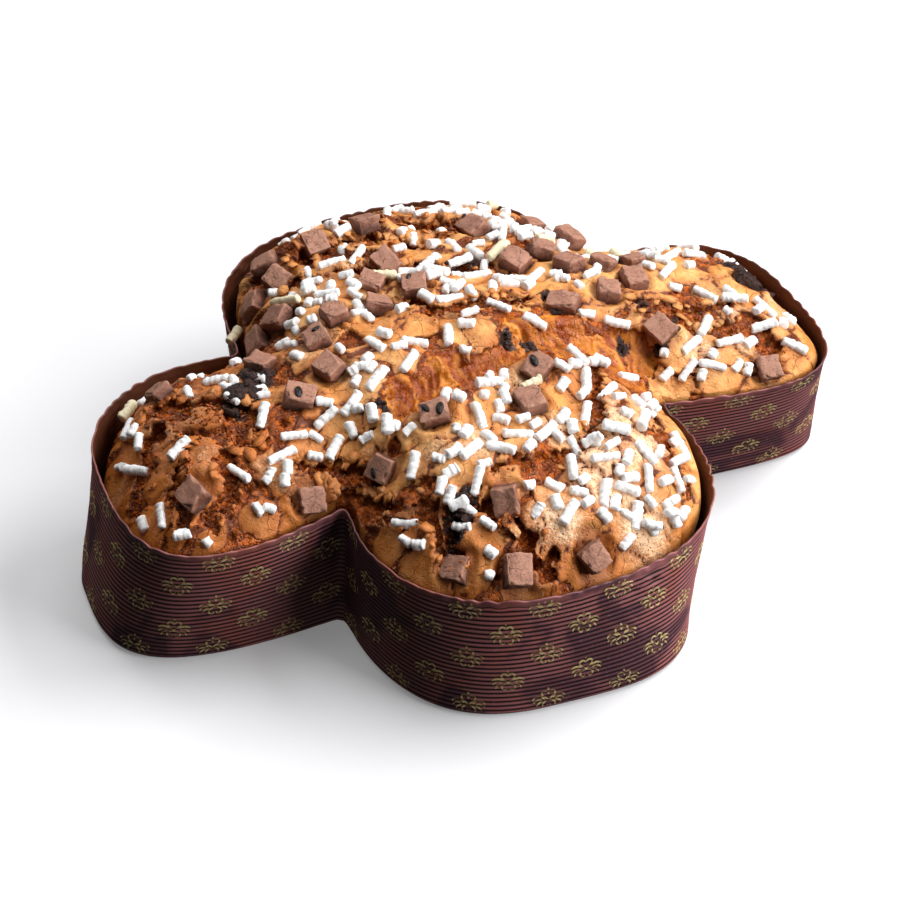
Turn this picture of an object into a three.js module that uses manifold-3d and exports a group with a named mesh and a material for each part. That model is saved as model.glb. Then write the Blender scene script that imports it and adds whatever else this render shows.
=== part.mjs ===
// A dove-shaped Easter cake, baked and standing in its dark paper case.
// Millimetres, +Z up. The body runs along X: the tail lobe points to -X, the head lobe to +X,
// and the two wings to -Y and +Y. The case stands on Z = 0, and the origin is the middle of its plan.
import * as THREE from 'three';
import { mergeVertices } from 'three/addons/utils/BufferGeometryUtils.js';
import Module from 'manifold-3d';

const wasm = await Module();
wasm.setup();

// ---- driving dimensions ----
const RIM_HEIGHT = 57; // height of the paper case
const PAPER = 1.2; // thickness of its corrugated wall and of its floor
const FIT = 0.5; // gap between the cake and the paper
const MIDDLE = { x: -2, y: -1 }; // middle of the plan, seen from the crossing of body and wings

// The plan at a height is four lobes. Each is a superellipse about its own axis: reach and half width,
// a waist that narrows it towards the middle, and the roundness of its clockwise and other side.
const RIM = [
  { name: 'front_wing', axis: -92, reach: 107, half: 90, waist: 0.45, cw: 2.15, ccw: 2.4 },
  { name: 'head', axis: 2, reach: 134.5, half: 67, waist: 0.7, cw: 4.2, ccw: 2.1 },
  { name: 'back_wing', axis: 87, reach: 106, half: 90, waist: 0.33, cw: 2.4, ccw: 2.55 },
  { name: 'tail', axis: 177, reach: 134.5, half: 73, waist: 0.7, cw: 2.2, ccw: 3.1 },
];
const BASE = [
  { name: 'front_wing', axis: -97, reach: 108, half: 70, waist: 0.2, cw: 2.5, ccw: 3.8 },
  { name: 'head', axis: 6, reach: 139, half: 54, waist: 0.7, cw: 7, ccw: 1.8 },
  { name: 'back_wing', axis: 88, reach: 108, half: 71, waist: 0.12, cw: 3.1, ccw: 3.4 },
  { name: 'tail', axis: 175.5, reach: 144.5, half: 57, waist: 0.33, cw: 1.8, ccw: 3.7 },
];
const CREASE_POWER = 34; // rounds the inner corner where two lobes meet
const LOBE_STEPS = [36, 32, 36, 32]; // steps round each lobe, from one inner corner to the next

// The crust meets the paper at CONTACT, lower at each dip and higher where the dough swells over the rim.
const CONTACT = 54;
const DIPS = [
  { name: 'tail end', angle: 180, depth: 13, spread: 13 },
  { name: 'tail corner', angle: 150, depth: 6, spread: 14 },
  { name: 'back wing', angle: 100, depth: 8, spread: 24 },
  { name: 'head end', angle: 2, depth: 5, spread: 12 },
  { name: 'front wing side', angle: -62, depth: 4, spread: 12 },
  { name: 'swell by the head', angle: 33, depth: -12, spread: 7.5 },
  { name: 'swell by the tail', angle: 139, depth: -6, spread: 6 },
  { name: 'front swell, tail side', angle: -148, depth: -4, spread: 6 },
  { name: 'front swell, head side', angle: -40, depth: -4, spread: 7 },
];
// Away from the paper the top follows these heights, blended over CROWN_SPREAD.
const CROWN = [
  { x: 0, y: -5, z: 88 },
  { x: -100, y: 2, z: 69 },
  { x: -55, y: 0, z: 80 },
  { x: 100, y: 0, z: 67.5 },
  { x: 62, y: 5, z: 79 },
  { x: 0, y: -78, z: 77 },
  { x: -8, y: 72, z: 79 },
  { x: 52, y: 36, z: 80 },
  { x: 38, y: 72, z: 66 },
];
const CROWN_SPREAD = 30;
const SHOULDER = 36; // the top curves down over this width before it meets the paper
const SHOULDER_POWER = 2.2;

// Splits in the crust, each a line with its width and depth.
const SPLITS = [
  { name: 'tear', width: 17, depth: 6, line: [[-35, -24], [-6, -21], [20, -14], [44, -19], [60, -23]] },
  { name: 'front', width: 12, depth: 5, line: [[-27, -72], [-19, -88], [-16, -98]] },
  { name: 'front side', width: 7, depth: 3, line: [[-18, -65], [9, -68], [23, -57], [33, -34]] },
  { name: 'right', width: 7, depth: 3, line: [[47, -52], [43, -70], [43, -85]] },
  { name: 'tail side', width: 7, depth: 3, line: [[-73, -27], [-61, -32], [-50, -43]] },
  { name: 'notch', width: 10, depth: 5, line: [[-63, -40], [-52, -58], [-42, -70], [-42, -82]] },
  { name: 'tail end', width: 8, depth: 3, line: [[-112, 11], [-121, -3], [-125, -9]] },
  { name: 'tail middle', width: 7, depth: 3, line: [[-110, -11], [-116, -21], [-114, -30]] },
  { name: 'tail front', width: 8, depth: 3, line: [[-95, -13], [-99, -25], [-107, -32]] },
  { name: 'tail patch', width: 22, depth: 3, line: [[-106, 15], [-88, -6]] },
  { name: 'head', width: 9, depth: 3, line: [[67, -7], [84, -13], [98, -14]] },
  { name: 'head end', width: 7, depth: 3, line: [[91, -24], [105, -23], [110, -34]] },
  { name: 'back outer', width: 9, depth: 4, line: [[-36, 66], [-12, 66], [12, 57]] },
  { name: 'back inner', width: 8, depth: 4, line: [[-45, 55], [-5, 43], [18, 34]] },
  { name: 'back edge', width: 10, depth: 4, line: [[-12, 82], [10, 74], [28, 62]] },
  { name: 'middle', width: 10, depth: 3, line: [[-16, 23], [-4, 9], [26, 7]] },
];
// Slow waves over the whole crust: amplitude, wavelength, heading in degrees.
const WAVES = [
  { height: 0.8, length: 47, heading: 20 },
  { height: 0.7, length: 34, heading: 95 },
  { height: 0.6, length: 27, heading: -40 },
  { height: 0.5, length: 21, heading: 63 },
];
const CAKE_RINGS = 18; // rings from the paper to the middle of the top
const RINGS_AT_FULL_COUNT = 10; // further in, each ring has half as many points
const RINGS_AT_HALF_COUNT = 14; // and then a quarter

// Chocolate pieces by lobe: x, y and turn in degrees. Each lies on the crust and has sunk into it.
const CHUNK = { side: 10.8, thick: 6.4, variety: 0.14, chip: 0.7, tilt: 14 };
const CHUNK_SINK = { mean: 2.2, variety: 0.7 };
const CHUNK_GAP = 0.35;
const CHUNK_SEED = 21;
const CHUNKS = {
  tail: [
    [-110, -22.5, 15], [-73.5, -36.5, -10], [-103.5, 30.5, 20], [-69, 19.5, 30], [-61, 43, -15],
    [-64.5, -5, 60],
  ],
  back_wing: [
    [-50.5, 1.5, 25], [-48.5, 18.5, -5], [-38.5, 26.5, 10], [-53, 41.5, 35], [-56, 60.5, 60],
    [-45.5, 61.5, 20], [-45, 74, 70], [-28, 70, 5], [-6.5, 72.5, 0], [-8.5, 48.5, 20],
    [-19, 37.5, 45], [-6.5, 28, -20], [-22, 25, 65],
  ],
  crown: [
    [32.5, 60, 10], [35, 30.5, 30], [60.5, 65, 0], [47.5, 34, -30], [52.5, 20.5, 20],
    [64.5, 44.5, 15], [65.5, 19, 40], [79.5, 20, 10], [72, 7, -5], [58.5, 2.5, -25], [40, 1.5, 50],
  ],
  head: [
    [69, -18.5, 20], [103.5, -39, -5], [116, -0.5, 65],
  ],
  front_wing: [
    [13, -30.5, -60], [4.5, -42.5, 0], [-28, -35.5, 75], [-49, -40, 35], [-20, -75.5, -22],
    [0, -99, 25], [-25.5, -95, -20], [-42.5, -84.5, 40],
  ],
};

// Sugar rods: six-sided, half sunk, the longest first. Candidate places come from a seeded stream.
const ROD = { radius: 1.85, longest: 10.6, shortest: 4.6, sides: 6, lift: 0.55 };
const ROD_TOTAL = 420; // as many as the real top carries; the solid has the longest ROD_COUNT of them
const ROD_COUNT = 96;
const ROD_SEED = 1917;
const ROD_EDGE = 7; // nearest a rod's middle comes to the paper
const ROD_SPACING = 0.82; // of the mean length of two neighbours
const ROD_CHUNK_CLEAR = 10.2; // from a chocolate piece's middle to a rod's centre line
const SUGAR_BASE = 0.16;
const SUGAR_ZONES = [
  { x: 45, y: -42, reach: 18, share: 1 },
  { x: 25, y: -80, reach: 20, share: 1 },
  { x: 8, y: -50, reach: 18, share: 0.7 },
  { x: -12, y: -40, reach: 16, share: 0.7 },
  { x: -48, y: -15, reach: 18, share: 0.8 },
  { x: -50, y: 38, reach: 17, share: 0.8 },
  { x: -18, y: 60, reach: 20, share: 0.8 },
  { x: 8, y: 30, reach: 15, share: 0.5 },
  { x: 45, y: 44, reach: 20, share: 1 },
  { x: 82, y: 18, reach: 14, share: 0.6 },
  { x: 76, y: -28, reach: 15, share: 0.9 },
  { x: 108, y: -20, reach: 18, share: 0.25 },
  { x: -112, y: 18, reach: 16, share: 0.25 },
  { x: -78, y: -30, reach: 15, share: 0.5 },
  { x: -46, y: -82, reach: 14, share: 0.8 },
];

const DEG = Math.PI / 180;

const paper = new THREE.MeshStandardMaterial({ color: 0x4b2826, roughness: 0.6, metalness: 0 });
const crust = new THREE.MeshStandardMaterial({ color: 0xc88c50, roughness: 0.6, metalness: 0 });
const chocolate = new THREE.MeshStandardMaterial({ color: 0x825a4b, roughness: 0.7, metalness: 0 });

// A repeatable stream of numbers between 0 and 1.
function stream(seed) {
  let state = seed;
  return () => {
    state = (state * 48271) % 2147483647;
    return state / 2147483647;
  };
}

// ---- plan ----

// How far a lobe reaches at an angle, in radians, from the crossing.
function lobeReach(angle, lobe) {
  const turn = Math.atan2(Math.sin(angle - lobe.axis * DEG), Math.cos(angle - lobe.axis * DEG));
  const along = Math.cos(turn);
  if (along <= 0.05) return 0;
  const across = Math.abs(Math.sin(turn));
  const power = turn < 0 ? lobe.cw : lobe.ccw;
  let reach = 0.6 * lobe.reach;
  for (let i = 0; i < 12; i++) {
    const half = lobe.half * (1 - lobe.waist * (1 - Math.min((reach * along) / lobe.reach, 1)));
    reach = 0.5 * reach + 0.5 * ((along / lobe.reach) ** power + (across / half) ** power) ** (-1 / power);
  }
  return reach;
}

function planPoint(angle, lobes) {
  const reaches = lobes.map((lobe) => lobeReach(angle, lobe));
  const most = Math.max(...reaches);
  const sum = reaches.reduce((total, reach) => total + (reach / most) ** CREASE_POWER, 0);
  const radius = most * sum ** (1 / CREASE_POWER);
  return new THREE.Vector2(radius * Math.cos(angle), radius * Math.sin(angle));
}

// The angle of the inner corner between a lobe and the next one round.
function cornerAngle(lobes, index) {
  const before = lobes[index];
  const after = lobes[(index + 1) % lobes.length];
  let low = before.axis * DEG;
  let high = low + ((((after.axis - before.axis) % 360) + 360) % 360) * DEG;
  for (let i = 0; i < 40; i++) {
    const middle = (low + high) / 2;
    if (lobeReach(middle, before) > lobeReach(middle, after)) low = middle;
    else high = middle;
  }
  return (low + high) / 2;
}

// The plan as one closed ring of points, evenly spaced along each lobe from corner to corner.
function planRing(lobes) {
  const ring = [];
  lobes.forEach((lobe, index) => {
    const start = cornerAngle(lobes, (index + lobes.length - 1) % lobes.length);
    const sweep = (((cornerAngle(lobes, index) - start) % (2 * Math.PI)) + 2 * Math.PI) % (2 * Math.PI);
    const fine = 400;
    const path = Array.from({ length: fine + 1 }, (_, i) => planPoint(start + (sweep * i) / fine, lobes));
    const run = [0];
    for (let i = 1; i <= fine; i++) run.push(run[i - 1] + path[i].distanceTo(path[i - 1]));
    for (let step = 0; step < LOBE_STEPS[index]; step++) {
      const target = (run[fine] * step) / LOBE_STEPS[index];
      let i = 0;
      while (run[i + 1] < target) i++;
      const share = (target - run[i]) / (run[i + 1] - run[i]);
      ring.push(path[i].clone().lerp(path[i + 1], share));
    }
  });
  return ring;
}

const rimRing = planRing(RIM);
const baseRing = planRing(BASE);
const COUNT = rimRing.length;

// The wall's ring at a height, moved inwards by inset.
function wallRing(heights, inset) {
  const ring = rimRing.map((rim, i) => baseRing[i].clone().lerp(rim, Math.min(heights(i) / RIM_HEIGHT, 1)));
  return ring.map((point, i) => {
    const along = ring[(i + 1) % COUNT].clone().sub(ring[(i + COUNT - 1) % COUNT]).normalize();
    const moved = new THREE.Vector2(point.x - along.y * inset, point.y + along.x * inset);
    return new THREE.Vector3(moved.x, moved.y, heights(i));
  });
}

// ---- surface of the top ----

const edgeRing = wallRing(() => RIM_HEIGHT, PAPER + FIT);

function segmentDistance(x, y, ax, ay, bx, by) {
  const dx = bx - ax;
  const dy = by - ay;
  const share = THREE.MathUtils.clamp(((x - ax) * dx + (y - ay) * dy) / (dx * dx + dy * dy), 0, 1);
  return Math.hypot(x - ax - share * dx, y - ay - share * dy);
}

function edgeDistance(x, y) {
  let least = Infinity;
  edgeRing.forEach((a, i) => {
    const b = edgeRing[(i + 1) % COUNT];
    least = Math.min(least, segmentDistance(x, y, a.x, a.y, b.x, b.y));
  });
  return least;
}

function contactHeight(x, y) {
  const angle = Math.atan2(y, x) / DEG;
  return DIPS.reduce((height, dip) => {
    const turn = THREE.MathUtils.euclideanModulo(angle - dip.angle + 180, 360) - 180;
    return height - dip.depth * Math.exp(-0.5 * (turn / dip.spread) ** 2);
  }, CONTACT);
}

function crownHeight(x, y) {
  let weights = 0;
  let sum = 0;
  for (const point of CROWN) {
    const weight = Math.exp(-((x - point.x) ** 2 + (y - point.y) ** 2) / (2 * CROWN_SPREAD ** 2));
    weights += weight;
    sum += weight * point.z;
  }
  return sum / weights;
}

// How far into a split a place is: 0 outside it, 1 along its line.
function splitShare(x, y, split) {
  let least = Infinity;
  for (let i = 1; i < split.line.length; i++) {
    const [a, b] = [split.line[i - 1], split.line[i]];
    least = Math.min(least, segmentDistance(x, y, a[0], a[1], b[0], b[1]));
  }
  return 1 - THREE.MathUtils.smoothstep(least, 0.15 * split.width, 0.62 * split.width);
}

function relief(x, y) {
  let height = 0;
  for (const wave of WAVES) {
    const across = x * Math.cos(wave.heading * DEG) + y * Math.sin(wave.heading * DEG);
    height += wave.height * Math.sin((2 * Math.PI * across) / wave.length);
  }
  for (const split of SPLITS) height -= split.depth * splitShare(x, y, split);
  return height;
}

function topHeight(x, y) {
  const inwards = Math.min(edgeDistance(x, y) / SHOULDER, 1);
  const rise = 1 - (1 - inwards) ** SHOULDER_POWER;
  const contact = contactHeight(x, y);
  return contact + (crownHeight(x, y) - contact) * rise + relief(x, y) * Math.min(3 * inwards, 1);
}

function topNormal(x, y) {
  const step = 4;
  const slopeX = (topHeight(x + step, y) - topHeight(x - step, y)) / (2 * step);
  const slopeY = (topHeight(x, y + step) - topHeight(x, y - step)) / (2 * step);
  return new THREE.Vector3(-slopeX, -slopeY, 1).normalize();
}

// ---- meshes ----

// Collects points and faces; every face is counter-clockwise seen from outside.
class Shell {
  constructor() {
    this.points = [];
    this.faces = [];
  }

  add(point) {
    this.points.push(point.x, point.y, point.z);
    return this.points.length / 3 - 1;
  }

  ring(points) {
    return points.map((point) => this.add(point));
  }

  // A band between two rings of the same count, or where the second has half as many points.
  // Flip splits each four-sided face along its other diagonal.
  band(from, to, flip = false) {
    const half = from.length === 2 * to.length;
    for (let i = 0; i < to.length; i++) {
      const next = (i + 1) % to.length;
      if (half) {
        const [a, b, c] = [from[2 * i], from[2 * i + 1], from[(2 * i + 2) % from.length]];
        this.faces.push(a, b, to[i], b, to[next], to[i], b, c, to[next]);
      } else if (flip) {
        this.faces.push(from[i], from[next], to[next], from[i], to[next], to[i]);
      } else {
        this.faces.push(from[i], from[next], to[i], from[next], to[next], to[i]);
      }
    }
  }

  fan(ring, centre) {
    ring.forEach((point, i) => this.faces.push(point, ring[(i + 1) % ring.length], centre));
  }

  // A flat end, from the ring's own points alone.
  cap(ring) {
    for (let i = 1; i < ring.length - 1; i++) this.faces.push(ring[0], ring[i], ring[i + 1]);
  }

  geometry() {
    const geometry = new THREE.BufferGeometry();
    geometry.setAttribute('position', new THREE.Float32BufferAttribute(this.points, 3));
    geometry.setIndex(this.faces);
    return geometry;
  }
}

function toSolid(geometry) {
  const bare = geometry.clone();
  bare.deleteAttribute('normal');
  bare.deleteAttribute('uv');
  const merged = mergeVertices(bare, 1e-4);
  return new wasm.Manifold(
    new wasm.Mesh({
      numProp: 3,
      vertProperties: new Float32Array(merged.attributes.position.array),
      triVerts: new Uint32Array(merged.index.array),
    }),
  );
}

function toGeometry(solid) {
  const mesh = solid.getMesh();
  const geometry = new THREE.BufferGeometry();
  geometry.setAttribute('position', new THREE.BufferAttribute(mesh.vertProperties, 3));
  geometry.setIndex(new THREE.BufferAttribute(mesh.triVerts, 1));
  return geometry;
}

// The case: a floor and one wall, open at the top.
function caseGeometry() {
  const shell = new Shell();
  const outerFoot = shell.ring(wallRing(() => 0, 0));
  const outerRim = shell.ring(wallRing(() => RIM_HEIGHT, 0));
  const innerRim = shell.ring(wallRing(() => RIM_HEIGHT, PAPER));
  const innerFoot = shell.ring(wallRing(() => PAPER, PAPER));
  shell.band(outerFoot, outerRim);
  shell.band(outerRim, innerRim);
  shell.band(innerRim, innerFoot, true);
  shell.fan(innerFoot, shell.add(new THREE.Vector3(0, 0, PAPER)));
  shell.fan([...outerFoot].reverse(), shell.add(new THREE.Vector3(0, 0, 0)));
  return shell.geometry();
}

// The bare cake: flat below, following the wall, then ring by ring over the top to the middle.
function cakeGeometry() {
  const shell = new Shell();
  const inset = PAPER + FIT;
  const contact = edgeRing.map((point) => contactHeight(point.x, point.y));
  const edge = wallRing((i) => contact[i], inset);
  const foot = shell.ring(wallRing(() => inset, inset));
  let last = shell.ring(edge);
  shell.fan([...foot].reverse(), shell.add(new THREE.Vector3(0, 0, inset)));
  shell.band(foot, last);
  for (let k = 1; k < CAKE_RINGS; k++) {
    const skip = k < RINGS_AT_FULL_COUNT ? 1 : k < RINGS_AT_HALF_COUNT ? 2 : 4;
    const share = 1 - k / CAKE_RINGS;
    const points = [];
    for (let i = 0; i < COUNT; i += skip) {
      const [x, y] = [edge[i].x * share, edge[i].y * share];
      points.push(new THREE.Vector3(x, y, topHeight(x, y)));
    }
    const ring = shell.ring(points);
    shell.band(last, ring);
    last = ring;
  }
  shell.fan(last, shell.add(new THREE.Vector3(0, 0, topHeight(0, 0))));
  return shell.geometry();
}

// A chocolate piece is a block with chipped corners; grow moves its faces out for its pocket.
function chunkGeometry(place, grow) {
  const geometry = new THREE.BoxGeometry(1, 1, 1);
  geometry.deleteAttribute('normal');
  geometry.deleteAttribute('uv');
  const block = mergeVertices(geometry);
  const draw = stream(place.seed);
  const scale = () => 1 + CHUNK.variety * (2 * draw() - 1);
  const size = [CHUNK.side * scale(), CHUNK.side * scale(), CHUNK.thick * scale()];
  const position = block.attributes.position;
  for (let i = 0; i < position.count; i++) {
    const corner = [position.getX(i), position.getY(i), position.getZ(i)];
    const moved = corner.map((value, k) => {
      const chip = CHUNK.chip * draw();
      return Math.sign(value) * (size[k] / 2 - chip + grow);
    });
    position.setXYZ(i, ...moved);
  }
  return block.applyMatrix4(place.matrix);
}

// Where each chocolate piece lies: on the crust, turned, tilted a little out of its slope.
function chunkPlaces() {
  const places = [];
  const draw = stream(CHUNK_SEED);
  for (const [lobe, list] of Object.entries(CHUNKS)) {
    list.forEach(([x, y, turn], index) => {
      const normal = topNormal(x, y);
      const settle = new THREE.Quaternion().setFromUnitVectors(new THREE.Vector3(0, 0, 1), normal);
      const lean = (2 * draw() - 1) * CHUNK.tilt * DEG;
      const tilt = new THREE.Quaternion().setFromEuler(new THREE.Euler(lean, 0, turn * DEG, 'ZYX'));
      const sink = CHUNK_SINK.mean + CHUNK_SINK.variety * (2 * draw() - 1);
      const lift = CHUNK.thick / 2 - sink;
      const centre = new THREE.Vector3(x, y, topHeight(x, y)).addScaledVector(normal, lift);
      const matrix = new THREE.Matrix4().compose(centre, settle.multiply(tilt), new THREE.Vector3(1, 1, 1));
      const name = `chocolate_${lobe}_${index + 1}`;
      places.push({ name, x, y, matrix, seed: 101 + 7 * places.length });
    });
  }
  return places;
}

function sugarShare(x, y) {
  let share = SUGAR_BASE;
  for (const zone of SUGAR_ZONES) {
    const distance = Math.hypot(x - zone.x, y - zone.y);
    share = Math.max(share, zone.share * Math.exp(-0.5 * (distance / zone.reach) ** 2));
  }
  const open = SPLITS.reduce((least, split) => Math.min(least, 1 - splitShare(x, y, split)), 1);
  return share * open;
}

// The places of the first rods. Every candidate takes four draws, whether it is kept or not.
function rodPlaces(chunks) {
  const draw = stream(ROD_SEED);
  const rods = [];
  while (rods.length < ROD_COUNT) {
    const x = (2 * draw() - 1) * 135;
    const y = (2 * draw() - 1) * 108;
    const wanted = draw();
    const heading = draw() * Math.PI;
    if (sugarShare(x, y) < wanted) continue;
    const edge = planPoint(Math.atan2(y, x), RIM).length() - Math.hypot(x, y);
    if (edge < ROD_EDGE || edgeDistance(x, y) < ROD_EDGE) continue;
    const length = ROD.longest - (ROD.longest - ROD.shortest) * (rods.length / ROD_TOTAL);
    const crowded = rods.some((rod) => {
      return Math.hypot(x - rod.x, y - rod.y) < (ROD_SPACING * (length + rod.length)) / 2;
    });
    if (crowded) continue;
    const [dx, dy] = [(Math.cos(heading) * length) / 2, (Math.sin(heading) * length) / 2];
    const blocked = chunks.some((chunk) => {
      return segmentDistance(chunk.x, chunk.y, x - dx, y - dy, x + dx, y + dy) < ROD_CHUNK_CLEAR;
    });
    if (blocked) continue;
    rods.push({ x, y, heading, length });
  }
  return rods;
}

// A rod lies along the slope of the crust, with its centre line ROD.lift above it.
function rodGeometry(rod) {
  const normal = topNormal(rod.x, rod.y);
  const side = new THREE.Vector3(Math.cos(rod.heading), Math.sin(rod.heading), 0);
  const along = side.addScaledVector(normal, -side.dot(normal)).normalize();
  const across = new THREE.Vector3().crossVectors(normal, along);
  const centre = new THREE.Vector3(rod.x, rod.y, topHeight(rod.x, rod.y)).addScaledVector(normal, ROD.lift);
  const shell = new Shell();
  const [start, end] = [-0.5, 0.5].map((share) => {
    return shell.ring(Array.from({ length: ROD.sides }, (_, i) => {
      const turn = (2 * Math.PI * i) / ROD.sides;
      const point = centre.clone().addScaledVector(along, share * rod.length);
      point.addScaledVector(across, ROD.radius * Math.cos(turn));
      return point.addScaledVector(normal, ROD.radius * Math.sin(turn));
    }));
  });
  shell.band(start, end);
  shell.cap(end);
  shell.cap([...start].reverse());
  return shell.geometry();
}

// Keeps the largest piece: a hollow that the joins seal, or a loose scrap, is a piece of its own.
function largestPiece(solid) {
  const pieces = solid.decompose();
  return pieces.reduce((best, piece) => (piece.volume() > best.volume() ? piece : best));
}

function cakeSolid(chunks) {
  let solid = toSolid(cakeGeometry());
  for (const rod of rodPlaces(chunks)) solid = solid.add(toSolid(rodGeometry(rod)));
  for (const chunk of chunks) solid = solid.subtract(toSolid(chunkGeometry(chunk, CHUNK_GAP)));
  return toGeometry(largestPiece(solid));
}

// ---- the whole ----

const cake = new THREE.Group();
cake.position.set(-MIDDLE.x, -MIDDLE.y, 0);

function place(name, geometry, material) {
  const mesh = new THREE.Mesh(geometry, material);
  mesh.name = name;
  cake.add(mesh);
}

const chunks = chunkPlaces();
place('paper_case', caseGeometry(), paper);
place('cake', cakeSolid(chunks), crust);
for (const chunk of chunks) place(chunk.name, chunkGeometry(chunk, 0), chocolate);

export default cake;
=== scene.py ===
"""A dove-shaped cake with a split and glazed crust, baked and standing in its dark ribbed paper case.

Lengths are millimetres until a mesh is made, which is in metres. Places on the plan are seen from
the crossing of body and wings: the tail lobe points to -X, the head lobe to +X, the wings to -Y and +Y.
"""
import logging
import math
from dataclasses import dataclass
from enum import Enum

import bpy
import numpy as np
from bpy.types import Material, Node, NodeSocket, NodeTree, Object
from mathutils import Matrix, Quaternion, Vector


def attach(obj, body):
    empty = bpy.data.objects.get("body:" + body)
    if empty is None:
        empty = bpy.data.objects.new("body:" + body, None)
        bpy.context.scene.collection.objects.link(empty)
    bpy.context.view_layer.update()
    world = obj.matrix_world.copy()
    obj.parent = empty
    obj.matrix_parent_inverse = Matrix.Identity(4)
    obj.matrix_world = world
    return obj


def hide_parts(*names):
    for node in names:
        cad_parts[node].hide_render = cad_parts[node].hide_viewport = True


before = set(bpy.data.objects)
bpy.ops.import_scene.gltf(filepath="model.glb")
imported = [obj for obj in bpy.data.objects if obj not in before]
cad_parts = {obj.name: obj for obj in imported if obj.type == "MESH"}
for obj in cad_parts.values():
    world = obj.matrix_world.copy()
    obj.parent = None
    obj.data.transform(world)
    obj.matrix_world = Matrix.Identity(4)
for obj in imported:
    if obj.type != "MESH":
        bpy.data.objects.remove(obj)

Array = np.ndarray
Colour = tuple[float, float, float]
Sockets = dict[str, NodeSocket]

log = logging.getLogger("dove_cake")
MM = 0.001
TURN = 2 * math.pi
BODY = "root"
CROSSING = np.array([2.0, 1.0, 0.0])  # of body and wings, in the frame
PLAN_REACH = np.array([135.0, 108.0])  # how far scattered things may lie from the crossing
BITS_REACH = np.array([132.0, 106.0])  # the same for flakes and nuggets
# What the crust is like where it has nothing but crumb.
PLAIN = dict.fromkeys(("tear", "melt", "crack", "porous", "foot_shade", "near", "strand", "bake"), 0.0)


class Slot(Enum):
    """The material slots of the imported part."""

    PAPER = "case_paper"
    CRUST = "cake_crust"
    CHOCOLATE = "milk_chocolate"
    SUGAR = "sugar"
    DARK = "dark_chocolate"
    GOLD = "gold_print"


# ---- numbers that vary over a surface ----


class RandomStream:
    """A repeatable stream of numbers between 0 and 1, the same as the one that placed the solids."""

    FACTOR = 48271
    MODULUS = 2147483647

    def __init__(self, seed: int) -> None:
        """Starts the stream at a seed."""
        self.state = seed

    def batch(self, rows: int, columns: int) -> Array:
        """The next numbers, row by row."""
        powers = np.array([self.FACTOR], dtype=np.uint64)
        while len(powers) < rows * columns:
            jump = powers[-1]
            powers = np.concatenate([powers, powers * jump % np.uint64(self.MODULUS)])
        states = powers[: rows * columns] * np.uint64(self.state) % np.uint64(self.MODULUS)
        self.state = int(states[-1])
        return (states / self.MODULUS).reshape(rows, columns)

    def draw(self) -> float:
        """The next number."""
        self.state = self.state * self.FACTOR % self.MODULUS
        return self.state / self.MODULUS

    def between(self, low: float, high: float) -> float:
        """The next number, spread between two limits."""
        return low + (high - low) * self.draw()


def ramp(low: float | Array, high: float | Array, value: Array) -> Array:
    """0 below low, 1 above high and a smooth rise between."""
    share = np.clip((value - low) / (high - low), 0.0, 1.0)
    return share * share * (3.0 - 2.0 * share)


def hashed(cells: Array, seed: int) -> Array:
    """Repeatable random numbers for whole-number cells.

    Args:
        cells: whole numbers, one cell in each row of the last axis.
        seed: tells one set of numbers from another.

    Returns:
        One number between 0 and 1 for each cell.
    """
    mixed = np.full(cells.shape[:-1], (seed * 2654435761 + 97) % 2**32, dtype=np.uint32)
    for k in range(cells.shape[-1]):
        mixed = (mixed ^ cells[..., k].astype(np.int64).astype(np.uint32)) * np.uint32(0x85EBCA6B)
        mixed ^= mixed >> np.uint32(13)
        mixed *= np.uint32(0xC2B2AE35)
        mixed ^= mixed >> np.uint32(16)
    return mixed / 2.0**32


def noise(points: Array, size: float, seed: int, octaves: int = 1) -> Array:
    """Smooth random hills and hollows.

    Args:
        points: places in 2-D or 3-D, one in each row.
        size: width of the widest hills.
        seed: tells one landscape from another.
        octaves: how many times finer hills are added, each half as high.

    Returns:
        One height for each place, mostly between -1 and 1.
    """
    total = np.zeros(points.shape[:-1])
    dims = points.shape[-1]
    for octave in range(octaves):
        place = points * (2.0**octave / size)
        cell = np.floor(place).astype(np.int64)
        inside = place - cell
        fade = inside**3 * (inside * (inside * 6.0 - 15.0) + 10.0)
        for corner in range(2**dims):
            step = np.array([(corner >> k) & 1 for k in range(dims)])
            weight = np.prod(np.where(step, fade, 1.0 - fade), axis=-1)
            reach = inside - step
            for k in range(dims):
                pull = 2.0 * hashed(cell + step, seed + 131 * k + 17 * octave) - 1.0
                total += weight * pull * reach[..., k] * 0.5**octave * 1.6
    return total


def warped(points: Array, size: float, reach: float, seed: int) -> Array:
    """The places, each moved up to about reach in a direction that varies over size."""
    moves = [noise(points, size, seed + 40 * k, 2) for k in range(points.shape[-1])]
    return points + reach * np.stack(moves, axis=-1)


def scattered(points: Array, size: float, seed: int) -> tuple[Array, Array, Array, Array]:
    """How places on a plane lie among scattered seeds, one for each square of a size.

    Returns:
        The distance to the nearest seed, the distance to the next one, the offset from the nearest
        and a random number that belongs to it.
    """
    cell = np.floor(points / size).astype(np.int64)
    first = np.full(points.shape[:-1], 1e9)
    second = first.copy()
    offset = np.zeros_like(points)
    key = np.zeros_like(first)
    for dx in (-1, 0, 1):
        for dy in (-1, 0, 1):
            near = cell + np.array([dx, dy])
            seeds = np.stack([hashed(near, seed), hashed(near, seed + 7)], axis=-1)
            away = points - (near + seeds) * size
            distance = np.hypot(away[..., 0], away[..., 1])
            nearer = distance < first
            second = np.where(nearer, first, np.minimum(second, distance))
            first = np.where(nearer, distance, first)
            offset = np.where(nearer[..., None], away, offset)
            key = np.where(nearer, hashed(near, seed + 13), key)
    return first, second, offset, key


def normed(vectors: Array) -> Array:
    """Vectors of length one that point the same way."""
    return vectors / np.linalg.norm(vectors, axis=-1, keepdims=True)


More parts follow.
